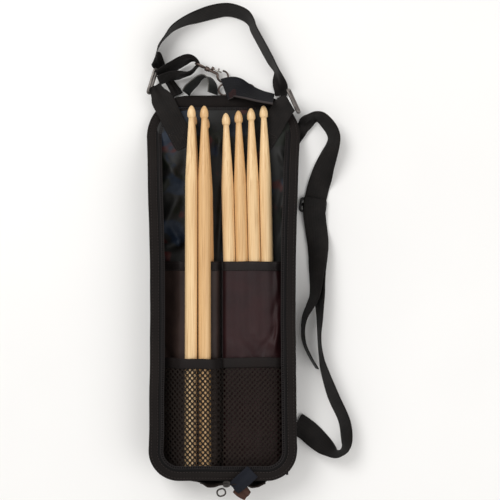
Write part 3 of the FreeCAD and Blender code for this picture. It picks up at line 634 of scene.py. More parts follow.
def round_rim(section, closed=True):
    """Sweeps a section of (inset, height, share) corners round the outline: the height is
    above the table when share is 0, and counts from the rim when share is 1."""
    points = []
    for place, out in OUTLINE:
        rim = rim_height(place.y)
        inward, upward = rim_sway(place)
        for inset, height, share in section:
            low = PANEL_LOW + height
            high = rim + height + upward
            level = low + (high - low) * share
            points.append(place - out * (inset + inward * share) + Vector((0, 0, level)))
    return points, grid_faces(len(OUTLINE), len(section), True, closed)


def rim_line(inset, height):
    """A line round the rim, for stitches and piping."""
    line = []
    for place, out in OUTLINE + OUTLINE[:1]:
        inward, upward = rim_sway(place)
        line.append(place - out * (inset + inward) + Vector((0, 0, rim_height(place.y) + height + upward)))
    return line


# ================================================================ tray shell
def make_shell():
    section = [(1.4, 0.2, 0.0), (0.2, 1.2, 0.0), (-0.7, 0.0, 0.25), (-1.0, -1.0, 0.5),
               (-0.6, -1.4, 0.8), (0.2, -2.0, 1.0), (2.6, -2.0, 1.0), (2.6, -2.0, 0.8),
               (2.5, 0.0, 0.4), (2.4, 0.6, 0.0)]
    points, faces = round_rim(section)
    columns = len(section)
    for index, point in enumerate(points):
        out = OUTLINE[index // columns][1]
        if index % columns in (2, 3, 4):
            swell = 1.3 * wander(point.x, point.y, point.z, 34.0, 4.0)
            points[index] = point + out * swell
    shell = piece("gusset_shell", points, faces, SHELL, "bag",
                  ["gusset_wall_" + side for side in ("left", "right", "top", "foot")], "shell_nylon")
    shell.modifiers.new("round", "SUBSURF").levels = 1
    apply_modifiers(shell)

    section = [(0.6, -2.6, 1.0), (-0.5, -2.2, 1.0), (-0.8, -1.1, 1.0), (-0.1, -0.1, 1.0),
               (1.3, 0.1, 1.0), (2.5, -0.55, 1.0), (3.4, -0.2, 1.0), (5.4, 0.2, 1.0),
               (7.6, 0.1, 1.0), (9.1, -0.45, 1.0), (9.9, -0.8, 1.0), (9.8, -1.5, 1.0),
               (6.0, -1.3, 1.0), (3.0, -1.7, 1.0)]
    points, faces = round_rim(section)
    columns = len(section)
    for index, point in enumerate(points):
        if 4 <= index % columns <= 9:
            points[index] = point + Vector((0, 0, 0.45 * wander(point.x, point.y, 0.0, 9.0, 5.0)))
    border = piece("border_band", points, faces, BORDER, "bag", ["front_border"], "shell_nylon")
    border.modifiers.new("round", "SUBSURF").levels = 1
    apply_modifiers(border)

    rows = [stitches(rim_line(2.5, -0.3)), stitches(rim_line(9.0, -0.1))]
    points, faces = merge(rows)
    piece("border_stitches", points, faces, THREAD, "bag")

    piping = []
    for place, out in OUTLINE:
        piping.append(place - out * 0.4 + Vector((0, 0, PANEL_LOW + 1.4)))
    points, faces = tube(piping, 1.5, 8, True)
    cord = piece("foot_piping", points, faces, BORDER, "bag")


def make_wall_lining():
    section = [(3.4, -3.2, 1.0), (3.2, -4.0, 0.8), (3.6, -1.0, 0.45), (3.4, 2.0, 0.15), (3.8, 4.2, 0.0)]
    points, faces = round_rim(section, closed=False)
    columns = len(section)
    for index, point in enumerate(points):
        out = OUTLINE[index // columns][1]
        if 0 < index % columns < columns - 1:
            swell = 0.9 + 1.6 * wander(point.x, point.y, point.z, 24.0, 6.0)
            points[index] = point - out * max(0.0, swell)
    inner = piece("wall_lining", points, faces, LINING, "bag", (), "lining_nylon")
    inner.modifiers.new("round", "SUBSURF").levels = 1
    thicken(inner, 0.4)


def make_zip():
    section = [(9.4, -1.7, 1.0), (9.4, -1.1, 1.0), (12.5, -1.3, 1.0), (15.6, -1.0, 1.0), (15.6, -1.7, 1.0)]
    points, faces = round_rim(section)
    tape = piece("zip_tape_round", points, faces, TAPE, "bag", ["zip_tape_bag"], "tape")
    teeth = []
    for place, heading in walk(rim_line(14.0, -0.3), 2.5):
        across = Vector((0, 0, 1)).cross(heading)
        matrix = frame_matrix(place, across, (0, 0, 1))
        teeth.append(blob(matrix, (1.55, 0.62, 0.85), 8, 4))
    for inset in (12.7, 15.3):
        teeth.append(tube(rim_line(inset, -0.6)[:-1], 0.5, 6, True))
    points, faces = merge(teeth)
    piece("zip_coil_teeth", points, faces, COIL, "bag", ["zip_coil_bag"], "coil")


def make_back():
    """Underside of the tray: a soft pad whose edges round off and thin out."""
    rows = 76
    columns = 34
    points = []
    for side in (0, 1):
        for row in range(rows + 1):
            y = -HALF_LENGTH + 2.6 + (2 * HALF_LENGTH - 5.2) * row / rows
            reach = half_width(y, 2.6)
            for column in range(columns + 1):
                x = reach * (2 * column / columns - 1)
                edge = min(reach - abs(x), HALF_LENGTH - 2.6 - abs(y), 14.0) / 14.0
                full = math.sqrt(max(0.0, 1 - (1 - edge) ** 2))
                if side == 0:
                    level = 8.0 - 0.2 * (1 - full)
                else:
                    dimple = 0.35 * wander(x, y, 0.0, 26.0, 8.0)
                    level = 6.1 - (1.75 - max(dimple, -0.2)) * full
                points.append(Vector((x, y, level)))
    sheet_points = (rows + 1) * (columns + 1)
    faces = grid_faces(rows + 1, columns + 1)
    faces = faces + [tuple(index + sheet_points for index in face[::-1]) for face in faces]
    rim = [column for column in range(columns + 1)]
    rim += [row * (columns + 1) + columns for row in range(1, rows + 1)]
    rim += [rows * (columns + 1) + column for column in range(columns - 1, -1, -1)]
    rim += [row * (columns + 1) for row in range(rows - 1, 0, -1)]
    for index, corner in enumerate(rim):
        following = rim[(index + 1) % len(rim)]
        faces.append((following, corner, corner + sheet_points, following + sheet_points))
    pad = piece("back_pad", points, faces, SHELL, "bag", ["back_panel"], "shell_nylon")


# ================================================================ lining
LINING_CREASES = [
    # left of the sticks: long soft folds and the bulge above the pocket's mouth
    ((-74, 60), (-52, 96), 5.0, 4.0), ((-76, 104), (-50, 140), 6.0, 4.5),
    ((-72, 150), (-50, 118), 4.0, 3.0), ((-70, 176), (-46, 196), 5.0, 3.0),
    ((-70, 42), (-44, 50), 5.5, 7.5), ((-60, 66), (-48, 48), 4.0, 3.0),
    # between the two bunches
    ((-6, 40), (-1, 110), 2.6, 4.0), ((-8, 150), (4, 190), 4.0, 3.5), ((-10, 196), (20, 186), 5.0, 2.5),
    # right of the sticks
    ((66, 36), (72, 70), 4.0, 4.0), ((64, 84), (76, 120), 5.0, 4.5), ((62, 150), (76, 128), 4.0, 3.5),
    ((20, 176), (34, 196), 4.0, 2.0)]


def lining_level(x, y):
    near_left = smoothstep(-50, -44, x) * (1 - smoothstep(-10, -6, x))
    near_right = smoothstep(0, 4, x) * (1 - smoothstep(60, 65, x))
    under = max(near_left, near_right) * (1 - smoothstep(150, 185, y))
    free = 1 - 0.93 * under
    edge = min(half_width(y, 3.0) - abs(x), HALF_LENGTH - 3.0 - abs(y))
    seat = smoothstep(0.0, 15.0, edge)
    folds = (creased(x, y, LINING_CREASES) + 1.5 * wander(x, y, 0.0, 17.0, 9.0)
             + 0.6 * wander(x, y, 0.0, 7.0, 10.0))
    return 9.4 + (LINING_TOP - 9.1) * seat + free * max(folds, -0.4) * min(1.0, edge / 6.0)


def make_lining():
    rows = 190
    columns = 74
    points = []
    low_y, high_y = -HALF_LENGTH + 3.2, HALF_LENGTH - 4.0
    for row in range(rows + 1):
        y = low_y + (high_y - low_y) * row / rows
        reach = half_width(y, 3.4)
        for column in range(columns + 1):
            x = reach * (2 * column / columns - 1)
            level = lining_level(x, y)
            ceiling = rim_height(y) - 1.0
            points.append(Vector((x, y, min(level, ceiling))))
    cloth = piece("lining_cloth", points, grid_faces(rows + 1, columns + 1), LINING, "bag",
                  ["lining"], "lining_nylon")
    thicken(cloth, 0.6, -1.0)


def make_top_hem():
    """Flat turned-over hem across the top of the tray."""
    points = []
    rows = 10
    columns = 56
    for row in range(rows + 1):
        y = 202.0 + 11.4 * row / rows
        for column in range(columns + 1):
            x = -54 + 108 * column / columns
            reach = half_width(y, 1.2)
            x = max(-reach, min(reach, x))
            roll = math.sin(math.pi * row / rows) ** 0.5
            level = 9.0 + 1.6 * roll + 0.4 * wander(x, y, 0.0, 11.0, 12.0)
            points.append(Vector((x, y, level)))
    hem = piece("top_hem", points, grid_faces(rows + 1, columns + 1), BORDER, "bag", (), "shell_nylon")
    thicken(hem, 1.0, -1.0)


# ================================================================ pockets
SEAM_X = -2.0
POCKET_MOUTH = 26.7
MESH_MOUTH = -80.0
POCKET_FOOT = -HALF_LENGTH + 2.8

LEFT_POCKET = [(-79.0, 9.8), (-71.0, 11.4), (-60.0, 16.5), (-48.0, 27.0), (-40.0, 28.5),
               (-12.0, 28.5), (-6.6, 26.2), (-4.2, 18.0), (-2.4, 13.4)]
RIGHT_POCKET = [(-1.8, 13.4), (-0.4, 22.0), (2.0, 27.4), (5.0, 28.5), (59.0, 28.5), (64.5, 25.4),
                (70.0, 17.0), (74.5, 11.8), (80.0, 9.8)]
LEFT_MESH = [(-79.0, 16.4), (-66.0, 25.6), (-54.0, 34.6), (-45.5, 42.8), (-40.0, 44.2),
             (-14.5, 44.2), (-9.5, 41.2), (-4.0, 30.0), (-1.6, 26.0)]
RIGHT_MESH = [(-1.6, 26.0), (0.6, 30.0), (6.0, 30.6), (58.5, 30.6), (66.0, 27.6), (72.0, 20.0),
              (80.0, 16.4)]
POCKET_CREASES = [
    ((58, -48), (40, -78), 3.4, -3.2), ((62, -40), (56, -76), 3.0, 2.6), ((30, -52), (58, -66), 5.0, 1.6),
    ((20, -60), (34, -84), 5.0, -1.2), ((64, -8), (54, -34), 4.0, -1.8), ((66, -20), (60, 8), 3.0, 1.2),
    ((12, -70), (30, -58), 6.0, 0.9), ((70, 10), (60, 20), 4.0, -1.4),
    ((-62, -10), (-56, -70), 5.0, 1.4), ((-72, -60), (-58, -84), 4.0, -1.6),
    ((-70, 6), (-58, -30), 5.0, -1.4)]


def pocket_level(x, y, stations):
    level = through(stations, x)
    free = 1.0
    if x > 3.0:
        lean = 0.02395 * (196.0 - y)
        ridge = math.cos(2 * math.pi * (x - 2.8 - lean) / 14.2)
        level += 0.35 * (ridge - 1.0) * smoothstep(3, 8, x) * (1 - smoothstep(56, 60, x))
        free = 0.35 + 0.65 * smoothstep(52, 60, x)
        free = max(free, 1 - smoothstep(-66, -52, y))
    elif x > -50:
        free = 0.15
    gape = smoothstep(POCKET_MOUTH - 26, POCKET_MOUTH, y) * crease(x, 0, (-66, 0), (-44, 0), 4.0)
    folds = (creased(x, y, POCKET_CREASES) + 0.8 * wander(x, y, 0.0, 26.0, 14.0)
             + 0.3 * wander(x, y, 0.0, 9.0, 15.0))
    drop = max(free * folds, -1.0) if 3.0 < x < 62.0 else free * folds
    return level + drop + 2.5 * gape


def pocket_columns(left, y, count, inset):
    """X positions spread evenly across one pocket at a Y."""
    reach = half_width(y, inset)
    low, high = (-reach, SEAM_X - 0.3) if left else (SEAM_X + 0.3, reach)
    return [low + (high - low) * column / count for column in range(count + 1)]


def make_pocket(left):
    name = "pocket_left" if left else "pocket_right"
    node = "mid_pocket_left" if left else "mid_pocket_right"
    stations = LEFT_POCKET if left else RIGHT_POCKET
    rows = 128
    columns = 56
    points = []
    for row in range(rows + 1):
        y = POCKET_FOOT + (POCKET_MOUTH - POCKET_FOOT) * row / rows
        for x in pocket_columns(left, y, columns, 3.0):
            sag = 0.5 * wander(x, 0.0, 0.0, 20.0, 16.0) * smoothstep(POCKET_MOUTH - 12, POCKET_MOUTH, y)
            points.append(Vector((x, y + sag, pocket_level(x, y, stations))))
    # The left pocket takes the lightened satin, painted light against the sticks' shade.
    cloth = piece(name, points, grid_faces(rows + 1, columns + 1), POCKET_LEFT_PAINTED_LIGHT if left else POCKET, "bag",
                  [node], "pocket_nylon")
    thicken(cloth, 0.5)

    hem_points = []
    hem_rows = 8
    for row in range(hem_rows + 1):
        share = row / hem_rows
        y = POCKET_MOUTH + 0.5 - 10.4 * share
        for x in pocket_columns(left, y, columns, 3.2):
            sag = 0.5 * wander(x, 0.0, 0.0, 20.0, 16.0)
            lift = 0.35 + 0.35 * math.sin(math.pi * share) + 0.16 * wander(x, y, 0.0, 3.0, 17.0)
            hem_points.append(Vector((x, y + sag, pocket_level(x, y, stations) + lift)))
    hem_faces = grid_faces(hem_rows + 1, columns + 1)
    hem = piece(name + "_hem", hem_points, hem_faces, HEM, "bag", (), "pocket_nylon")
    thicken(hem, 0.6)

    rows_of_stitches = []
    for y in (POCKET_MOUTH - 1.6, POCKET_MOUTH - 9.0):
        path = []
        for x in pocket_columns(left, y, 60, 5.0):
            path.append(Vector((x, y, pocket_level(x, y, stations) + 0.85)))
        rows_of_stitches.append(stitches(path))
    points, faces = merge(rows_of_stitches)
    piece(name + "_stitches", points, faces, THREAD, "bag")


def make_seam():
    """The raised seam between the two columns of pockets, and its stitches."""
    ridge = []
    for step in range(121):
        y = POCKET_FOOT + (POCKET_MOUTH - POCKET_FOOT) * step / 120
        ridge.append(Vector((SEAM_X + 0.5 * wander(0, y, 0, 20, 18), y, 13.6 + 0.8 * wander(0, y, 0, 9, 19))))
    points, faces = tube(ridge, 1.0, 8)
    piece("pocket_seam", points, faces, HEM, "bag", (), "pocket_nylon")
    points, faces = stitches([point + Vector((0, 0, 1.0)) for point in ridge], 2.6, 1.6, 0.4)
    piece("pocket_seam_stitches", points, faces, THREAD, "bag")


HOLE_PITCH_X, HOLE_PITCH_Y = 5.7, 6.3
HOLE_HALF_X, HOLE_HALF_Y = 1.42, 1.75


def mesh_level(x, y, stations):
    level = through(stations, x)
    free = 1.0 if x < -50 or x > 60 else 0.12
    if x > 3.0:
        free = 0.5
    drop = 4.0 * smoothstep(-204, POCKET_FOOT - 1, -abs(y)) if y < -204 else 0.0
    uneven = 1.4 * wander(x, y, 0.0, 24.0, 21.0) + 0.5 * wander(x, y, 0.0, 10.0, 22.0)
    return level + free * uneven - drop


def make_mesh_pocket(left):
    name = "mesh_left" if left else "mesh_right"
    node = "mesh_pocket_left" if left else "mesh_pocket_right"
    stations = LEFT_MESH if left else RIGHT_MESH
    known = {}
    points = []

    def corner(x, y):
        key = (round(x * 20), round(y * 20))
        if key not in known:
            known[key] = len(points)
            bend_x = 0.7 * wander(x, y, 0.0, 30.0, 23.0)
            bend_y = 1.0 * wander(x, y, 0.0, 34.0, 24.0)
            reach = half_width(min(max(y, POCKET_FOOT), MESH_MOUTH), 2.8)
            place_x = max(-reach, min(reach, x + bend_x))
            place_x = min(place_x, SEAM_X + 0.2) if left else max(place_x, SEAM_X - 0.2)
            place_y = min(max(y + bend_y, POCKET_FOOT), MESH_MOUTH - 6.0)
            points.append(Vector((place_x, place_y, mesh_level(place_x, place_y, stations))))
        return known[key]

    faces = []
    low_x, high_x = (-82.0, SEAM_X + 2) if left else (SEAM_X - 2, 82.0)
    columns = int((high_x - low_x) / HOLE_PITCH_X * 2) + 1
    rows = int((MESH_MOUTH - POCKET_FOOT) / HOLE_PITCH_Y * 2) + 1
    for row in range(rows + 1):
        for column in range(columns + 1):
            if (row + column) % 2:
                continue
            middle_x = low_x + column * HOLE_PITCH_X / 2
            middle_y = POCKET_FOOT + row * HOLE_PITCH_Y / 2
            if abs(middle_x) > half_width(middle_y, 3.5):
                continue
            outer = []
            inner = []
            for turn in range(8):
                angle = math.pi * turn / 4
                if turn % 2:
                    step_x = HOLE_PITCH_X / 4 * (1 if math.cos(angle) > 0 else -1)
                    step_y = HOLE_PITCH_Y / 4 * (1 if math.sin(angle) > 0 else -1)
                else:
                    step_x = HOLE_PITCH_X / 2 * round(math.cos(angle))
                    step_y = HOLE_PITCH_Y / 2 * round(math.sin(angle))
                outer.append(corner(middle_x + step_x, middle_y + step_y))
                inner.append(corner(middle_x + HOLE_HALF_X * math.cos(angle),
                                    middle_y + HOLE_HALF_Y * math.sin(angle)))
            for turn in range(8):
                following = (turn + 1) % 8
                faces.append((outer[turn], outer[following], inner[following], inner[turn]))
    faces = [face for face in faces if len(set(face)) == 4]
    cloth = piece(name, points, faces, KNIT, "bag", [node], "mesh")
    thicken(cloth, 0.7, 0.0, 1)

    rows = 10
    columns = 60
    points = []
    for row in range(rows + 1):
        share = row / rows
        for x in pocket_columns(left, MESH_MOUTH - 6, columns, 3.2):
            sway = 1.2 * wander(x, 0.0, 0.0, 34.0, 25.0) + 0.3 * wander(x, 0.0, 0.0, 9.0, 26.0)
            y = MESH_MOUTH - 0.6 - 10.8 * share + sway
            crown = 0.5 + 0.7 * math.sin(math.pi * share) ** 0.6
            points.append(Vector((x, y, mesh_level(x, y, stations) + crown)))
    band = piece(name + "_binding", points, grid_faces(rows + 1, columns + 1), BINDING, "bag", (), "mesh")
    thicken(band, 0.9, -1.0)
    path = []
    for x in pocket_columns(left, MESH_MOUTH - 6, 60, 5.0):
        sway = 1.2 * wander(x, 0.0, 0.0, 34.0, 25.0) + 0.3 * wander(x, 0.0, 0.0, 9.0, 26.0)
        y = MESH_MOUTH - 9.6 + sway
        path.append(Vector((x, y, mesh_level(x, y, stations) + 1.2)))
    points, faces = stitches(path)
    piece(name + "_stitches", points, faces, THREAD, "bag")


# ================================================================ cover and fold
FOLD_Y = -217.2
COVER_SHIFT = -48.2
COVER_END = HALF_LENGTH - 12.0 + COVER_SHIFT


def cover_reach(y, inset):
    return half_width(y - COVER_SHIFT, inset)


def cover_sheet(name, inset, low_y, high_y, level, material, node, slot, rows=90, columns=40):
    points = []
    for row in range(rows + 1):
        y = low_y + (high_y - low_y) * row / rows
        reach = cover_reach(y, inset)
        for column in range(columns + 1):
            x = reach * (2 * column / columns - 1)
            edge = min(reach - abs(x), high_y - y)
            points.append(Vector((x, y, level(x, y, edge))))
    return piece(name, points, grid_faces(rows + 1, columns + 1), material, "cover", node, slot)


def make_cover():
    def lining_low(x, y, edge):
        puff = 0.30 + 0.30 * wander(x, y, 0.0, 20.0, 31.0) + 0.12 * wander(x, y, 0.0, 8.0, 32.0)
        return max(0.08, puff * min(1.0, edge / 8.0) + 0.4 * (1 - smoothstep(0, 6, edge)))

    def panel_high(x, y, edge):
        crown = math.sqrt(max(0.0, 1 - (1 - min(1.0, edge / 12.0)) ** 2))
        return 2.2 + (1.55 + 0.15 * wander(x, y, 0.0, 30.0, 33.0)) * crown

    low_y = FOLD_Y + 1.5
    inner = cover_sheet("cover_lining_cloth", 12.2, low_y, COVER_END - 0.3, lining_low, LINING,
                        ["cover_lining"], "lining_nylon")
    thicken(inner, 0.4, 1.0)
    pad = cover_sheet("cover_pad", 11.6, low_y, COVER_END, panel_high, SHELL, ["cover_panel"], "shell_nylon")
    thicken(pad, 1.4, -1.0)

    tape_parts = []
    teeth = []
    edge_path = []
    steps = 130
    for side in (1, -1):
        path = []
        for step in range(steps + 1):
            y = low_y + (COVER_END + 1.8 - low_y) * math.sin(math.pi / 2 * step / steps)
            path.append(Vector((side * cover_reach(min(y, COVER_END + 1.79), 10.2), y, 2.1)))
        edge_path.append(path)
    whole = edge_path[0] + edge_path[1][::-1]
    tape_parts.append(tube(whole, 2.6, 8, False, 0.18, (0, 0, 1)))
    points, faces = merge(tape_parts)
    piece("cover_tape", points, faces, TAPE, "cover", ["cover_zip_tape"], "tape")
    outer = []
    for side in (1, -1):
        path = []
        for step in range(steps + 1):
            y = low_y + (COVER_END + 3.0 - low_y) * math.sin(math.pi / 2 * step / steps)
            path.append(Vector((side * cover_reach(min(y, COVER_END + 2.99), 9.0), y, 2.9)))
        outer.append(path)
    for place, heading in walk(outer[0] + outer[1][::-1], 2.5):
        matrix = frame_matrix(place, Vector((0, 0, 1)).cross(heading), (0, 0, 1))
        teeth.append(blob(matrix, (1.5, 0.62, 0.75), 8, 4))
    points, faces = merge(teeth)
    piece("cover_coil", points, faces, COIL, "cover", ["cover_zip_coil"], "coil")


def fold_half(z):
    """Half width of the cloth that joins the tray's foot to the cover, at a height."""
    return 36.0 + (51.5 - 36.0) * (1 - smoothstep(18.0, 43.0, z))


def fold_sheet(low_z, high_z, rows):
    points = []
    columns = 60
    for row in range(rows + 1):
        z = low_z + (high_z - low_z) * row / rows
        half = fold_half(z)
        centre = 11.0 * smoothstep(18.0, 43.0, z)
        for column in range(columns + 1):
            x = centre + half * (2 * column / columns - 1)
            middle = 1 - abs(2 * column / columns - 1)
            swell = (1.6 + 1.4 * wander(x, z, 0.0, 13.0, 41.0)) * min(1.0, 4 * middle)
            lobes = creased(x, z, [((-20, 46), (-6, 40), 7.0, 3.4), ((30, 47), (42, 38), 7.0, 4.0)])
            rise = 1.6 * wander(x, z, 0.0, 16.0, 42.0) * smoothstep(40.0, 47.0, z)
            points.append(Vector((x, FOLD_Y - swell - lobes, z + rise)))
    return points, grid_faces(rows + 1, columns + 1)


def make_fold():
    """Crumpled cloth of the fold, in two pieces that meet half way up."""
    for name, low_z, high_z, bodies, start, end in (
            ("fold_cloth_top", 24.0, 47.6, ("bag", "fold"), 48.5, 43.0),
            ("fold_cloth_foot", 3.2, 24.6, ("fold", "cover"), 8.0, 3.4)):
        points, faces = fold_sheet(low_z, high_z, 18)
        mesh = bpy.data.meshes.new(name)
        mesh.from_pydata([p * MM for p in points], [], faces)
        mesh.materials.append(FOLD_CLOTH)
        cloth = bpy.data.objects.new(name, mesh)
        scene.collection.objects.link(cloth)
        thicken(cloth, 1.0)
        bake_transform(cloth)
        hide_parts("cover_fold_strip")


FOLD_CLOTH = woven("fold_cloth", rgb(27, 21, 19), rgb(42, 32, 27), 0.72, 0.0008, 0.10, 0.03)


# ================================================================ sticks
STICK_RADIUS = 6.95
NECK_RADIUS = 3.15
TAPER = 73.0
TIP_SHAPE = [(14.2, 3.15), (13.7, 3.5), (13.1, 4.05), (12.2, 4.5), (10.6, 4.68), (9.0, 4.7), (7.2, 4.5),
             (5.2, 4.0), (3.4, 3.3), (1.9, 2.5), (0.9, 1.75), (0.3, 1.0), (0.0, 0.25)]


def stick_profile(length):
    profile = [(0.0, 0.6), (0.05, STICK_RADIUS - 2.2), (0.35, STICK_RADIUS - 1.1), (1.1, STICK_RADIUS - 0.3),
               (2.4, STICK_RADIUS)]
    shoulder = length - TIP_SHAPE[0][0]
    taper_start = shoulder - TAPER
    for step in range(1, 24):
        profile.append((2.4 + (taper_start - 2.4) * step / 24, STICK_RADIUS))
    for step in range(19):
        share = step / 18
        ease = share ** 1.22
        soft = (1 - math.cos(math.pi * min(1.0, share * 3.0))) / 2
        radius = STICK_RADIUS - (STICK_RADIUS - NECK_RADIUS) * ease * (0.85 + 0.15 * soft)
        profile.append((taper_start + TAPER * share, radius))
    for back, radius in TIP_SHAPE[1:]:
        profile.append((length - back, radius))
    return profile


def make_sticks():
    high, low = 36.2, 20.6
    layout = [(1, 405.0, (-35.0, 200.7, high), -35.9, 1), (2, 405.0, (-20.9, 200.4, high), -20.2, 0),
              (3, 396.0, (-20.2, 190.5, low), -14.0, 2), (4, 405.0, (-34.4, 194.6, low), -29.2, 0)]
    tips = (194.1, 196.8, 199.5, 202.5)
    for index, tip_y in enumerate(tips):
        tip_x = 2.8 + 14.2 * index - (tip_y - tips[0]) * 9.7 / 405.0
        layout.append((5 + index, 405.0, (tip_x, tip_y, low), tip_x + 9.7, (1, 0, 1, 1)[index]))
    for number, length, tip, foot_x, tone in layout:
        lean = math.asin((foot_x - tip[0]) / length)
        foot = (tip[0] + length * math.sin(lean), tip[1] - length * math.cos(lean), tip[2])
        heading = (-math.sin(lean), math.cos(lean), 0.0)
        turned = lathe(stick_profile(length), frame_matrix(foot, heading, (0, 0, 1)), 40)
        name = "drumstick_%d" % number
        piece("stick_%d" % number, *turned, HICKORY[tone], name, [name], "hickory")


# ================================================================ webbing
WEBBING_WIDTH = 25.0
WEBBING_THICK = 1.3


def smooth_route(route, steps):
    """Catmull-Rom stations through (x, y, z, roll) or (x, y, z, roll, width) ones."""
    full = [tuple(s) + (WEBBING_WIDTH,) * (5 - len(s)) for s in route]
    last = len(full) - 1
    stations = []
    for index in range(last):
        quad = [full[max(index - 1, 0)], full[index], full[index + 1], full[min(index + 2, last)]]
        for step in range(steps):
            t = step / steps
            weights = (-0.5 * t ** 3 + t ** 2 - 0.5 * t, 1.5 * t ** 3 - 2.5 * t ** 2 + 1,
                       -1.5 * t ** 3 + 2 * t ** 2 + 0.5 * t, 0.5 * t ** 3 - 0.5 * t ** 2)
            stations.append(tuple(sum(w * q[axis] for w, q in zip(weights, quad)) for axis in range(5)))
    stations.append(full[last])
    return stations


def band_frames(stations):
    """Place, across, depth and width at each station."""
    places = [Vector(station[:3]) for station in stations]
    frames = []
    for index, station in enumerate(stations):
        heading = (places[min(index + 1, len(places) - 1)] - places[max(index - 1, 0)]).normalized()
        level = Vector((0, 0, 1)).cross(heading).normalized()
        across = Quaternion(heading, math.radians(station[3])) @ level
        frames.append((places[index], across, heading.cross(across), station[4]))
    return frames


BAND_SECTION = (-1.0, -0.97, -0.9, -0.72, -0.5, -0.25, 0.0, 0.25, 0.5, 0.72, 0.9, 0.97, 1.0)


def band(name, route, material, body, nodes, thick=WEBBING_THICK, steps=6, seed=0.0, ripple=0.25):
    """Webbing with a soft cupped section, rounded edges and a little ripple."""
    frames = band_frames(smooth_route(route, steps))
    points = []
    uvs = []
    travelled = 0.0
    before = frames[0][0]
    for place, across, deep, width in frames:
        travelled += (place - before).length
        before = place
        slack = min(1.3, 0.06 * math.sqrt(max(WEBBING_WIDTH ** 2 - width ** 2, 0.0)))
        upper = []
        lower = []
        for share in BAND_SECTION:
            centre = place + across * (share * width / 2)
            fold = slack * math.sin(1.5 * math.pi * share)
            wave = ripple * wander(centre.x, centre.y, centre.z, 16.0, 50.0 + seed) * abs(share)
            edge = 0.45 if abs(share) > 0.99 else (0.85 if abs(share) > 0.95 else 1.0)
            shift = deep * (fold + wave)
            upper.append((centre + shift + deep * (thick / 2 * edge), (share + 1) / 2))
            lower.append((centre + shift - deep * (thick / 2 * edge), (share + 1) / 2))
        ring = upper + lower[::-1]
        for point, share in ring:
            point.z = max(point.z, 0.15)
            points.append(point)
            uvs.append((share, travelled / WEBBING_WIDTH))
    columns = 2 * len(BAND_SECTION)
    faces = grid_faces(len(frames), columns, False, True)
    half = len(BAND_SECTION)
    for row, turn in ((0, 1), (len(frames) - 1, -1)):
        for column in range(half - 1):
            quad = (column, column + 1, columns - 2 - column, columns - 1 - column)
            faces.append(tuple(row * columns + corner for corner in quad)[::turn])
    return piece(name, points, faces, material, body, nodes, "webbing", uvs)


def box_stitch(route, start, end, inset, lift, steps=6):
    """Rows of stitches in a box with a cross, on the upper face between two shares of a route."""
    frames = band_frames(smooth_route(route, steps))
    last = len(frames) - 1

    def spot(along, across_share):
        where = (start + (end - start) * along) * last
        index = min(int(where), last - 1)
        blend = where - index
        near, far = frames[index], frames[index + 1]
        place = near[0].lerp(far[0], blend)
        across = near[1].lerp(far[1], blend)
        deep = near[2].lerp(far[2], blend)
        return place + across * (across_share * (near[3] / 2 - inset)) + deep * lift

    lines = [((0, -1), (1, -1)), ((1, -1), (1, 1)), ((1, 1), (0, 1)), ((0, 1), (0, -1)),
             ((0, -1), (1, 1)), ((0, 1), (1, -1))]
    parts = []
    for (a0, b0), (a1, b1) in lines:
        path = [spot(a0 + (a1 - a0) * t / 8, b0 + (b1 - b0) * t / 8) for t in range(9)]
        parts.append(stitches(path, 2.0, 0.8, 0.32))
    return merge(parts)


HANGER_LEFT = [
    (-42.0, 157.0, 12.8, 0), (-48.0, 168.0, 12.8, 0), (-55.0, 181.5, 13.1, 0),
    (-62.0, 196.0, 15.5, 4), (-69.4, 210.0, 15.4, 8), (-74.4, 218.4, 14.2, 8, 17),
    (-78.2, 225.6, 13.5, 4, 14)]
HANGER_RIGHT = [
    (43.0, 159.0, 12.8, 0), (49.5, 169.5, 12.8, 0), (56.0, 181.0, 14.0, -4),
    (62.0, 192.0, 16.8, -4), (68.6, 201.2, 18.6, 0), (75.4, 205.6, 18.8, 0, 21)]
HANG_LOOP_LEFT = [
    (-74.4, 236.6, 15.2, 70), (-66.0, 242.0, 15.0, 70), (-56.0, 248.0, 14.4, 70),
    (-46.0, 253.8, 14.0, 72), (-38.6, 256.6, 13.8, 76, 19), (-33.0, 255.8, 13.6, 84, 12),
    (-29.6, 253.0, 13.2, 88, 5.4), (-28.6, 249.4, 12.8, 90, 4.4), (-31.4, 246.2, 13.2, 92, 5.4),
    (-34.6, 242.4, 13.8, 96, 12), (-40.0, 239.2, 14.0, 100, 19), (-50.0, 237.6, 14.8, 104),
    (-59.0, 236.4, 15.2, 106), (-67.0, 233.8, 15.4, 106), (-73.4, 231.4, 15.4, 106)]
HANG_LOOP_RIGHT = [
    (56.6, 209.4, 21.6, 58), (52.0, 210.4, 21.6, 57), (42.0, 212.8, 21.2, 54),
    (32.0, 216.0, 20.4, 48), (23.0, 219.6, 18.6, 36), (14.0, 223.4, 16.0, 16),
    (6.0, 223.0, 14.2, 4), (1.0, 221.4, 13.6, 0)]
GRAB_HANDLE = [
    (-12.4, 217.2, 11.8, 66), (-12.2, 222.0, 11.8, 66), (-13.0, 228.4, 12.2, 70),
    (-16.4, 234.4, 12.8, 78), (-21.8, 236.6, 12.9, 90), (-27.2, 234.4, 12.9, 98),
    (-32.0, 229.6, 12.8, 104), (-36.6, 225.4, 12.8, 106), (-40.4, 221.4, 12.8, 108),
    (-42.6, 217.2, 12.8, 108)]
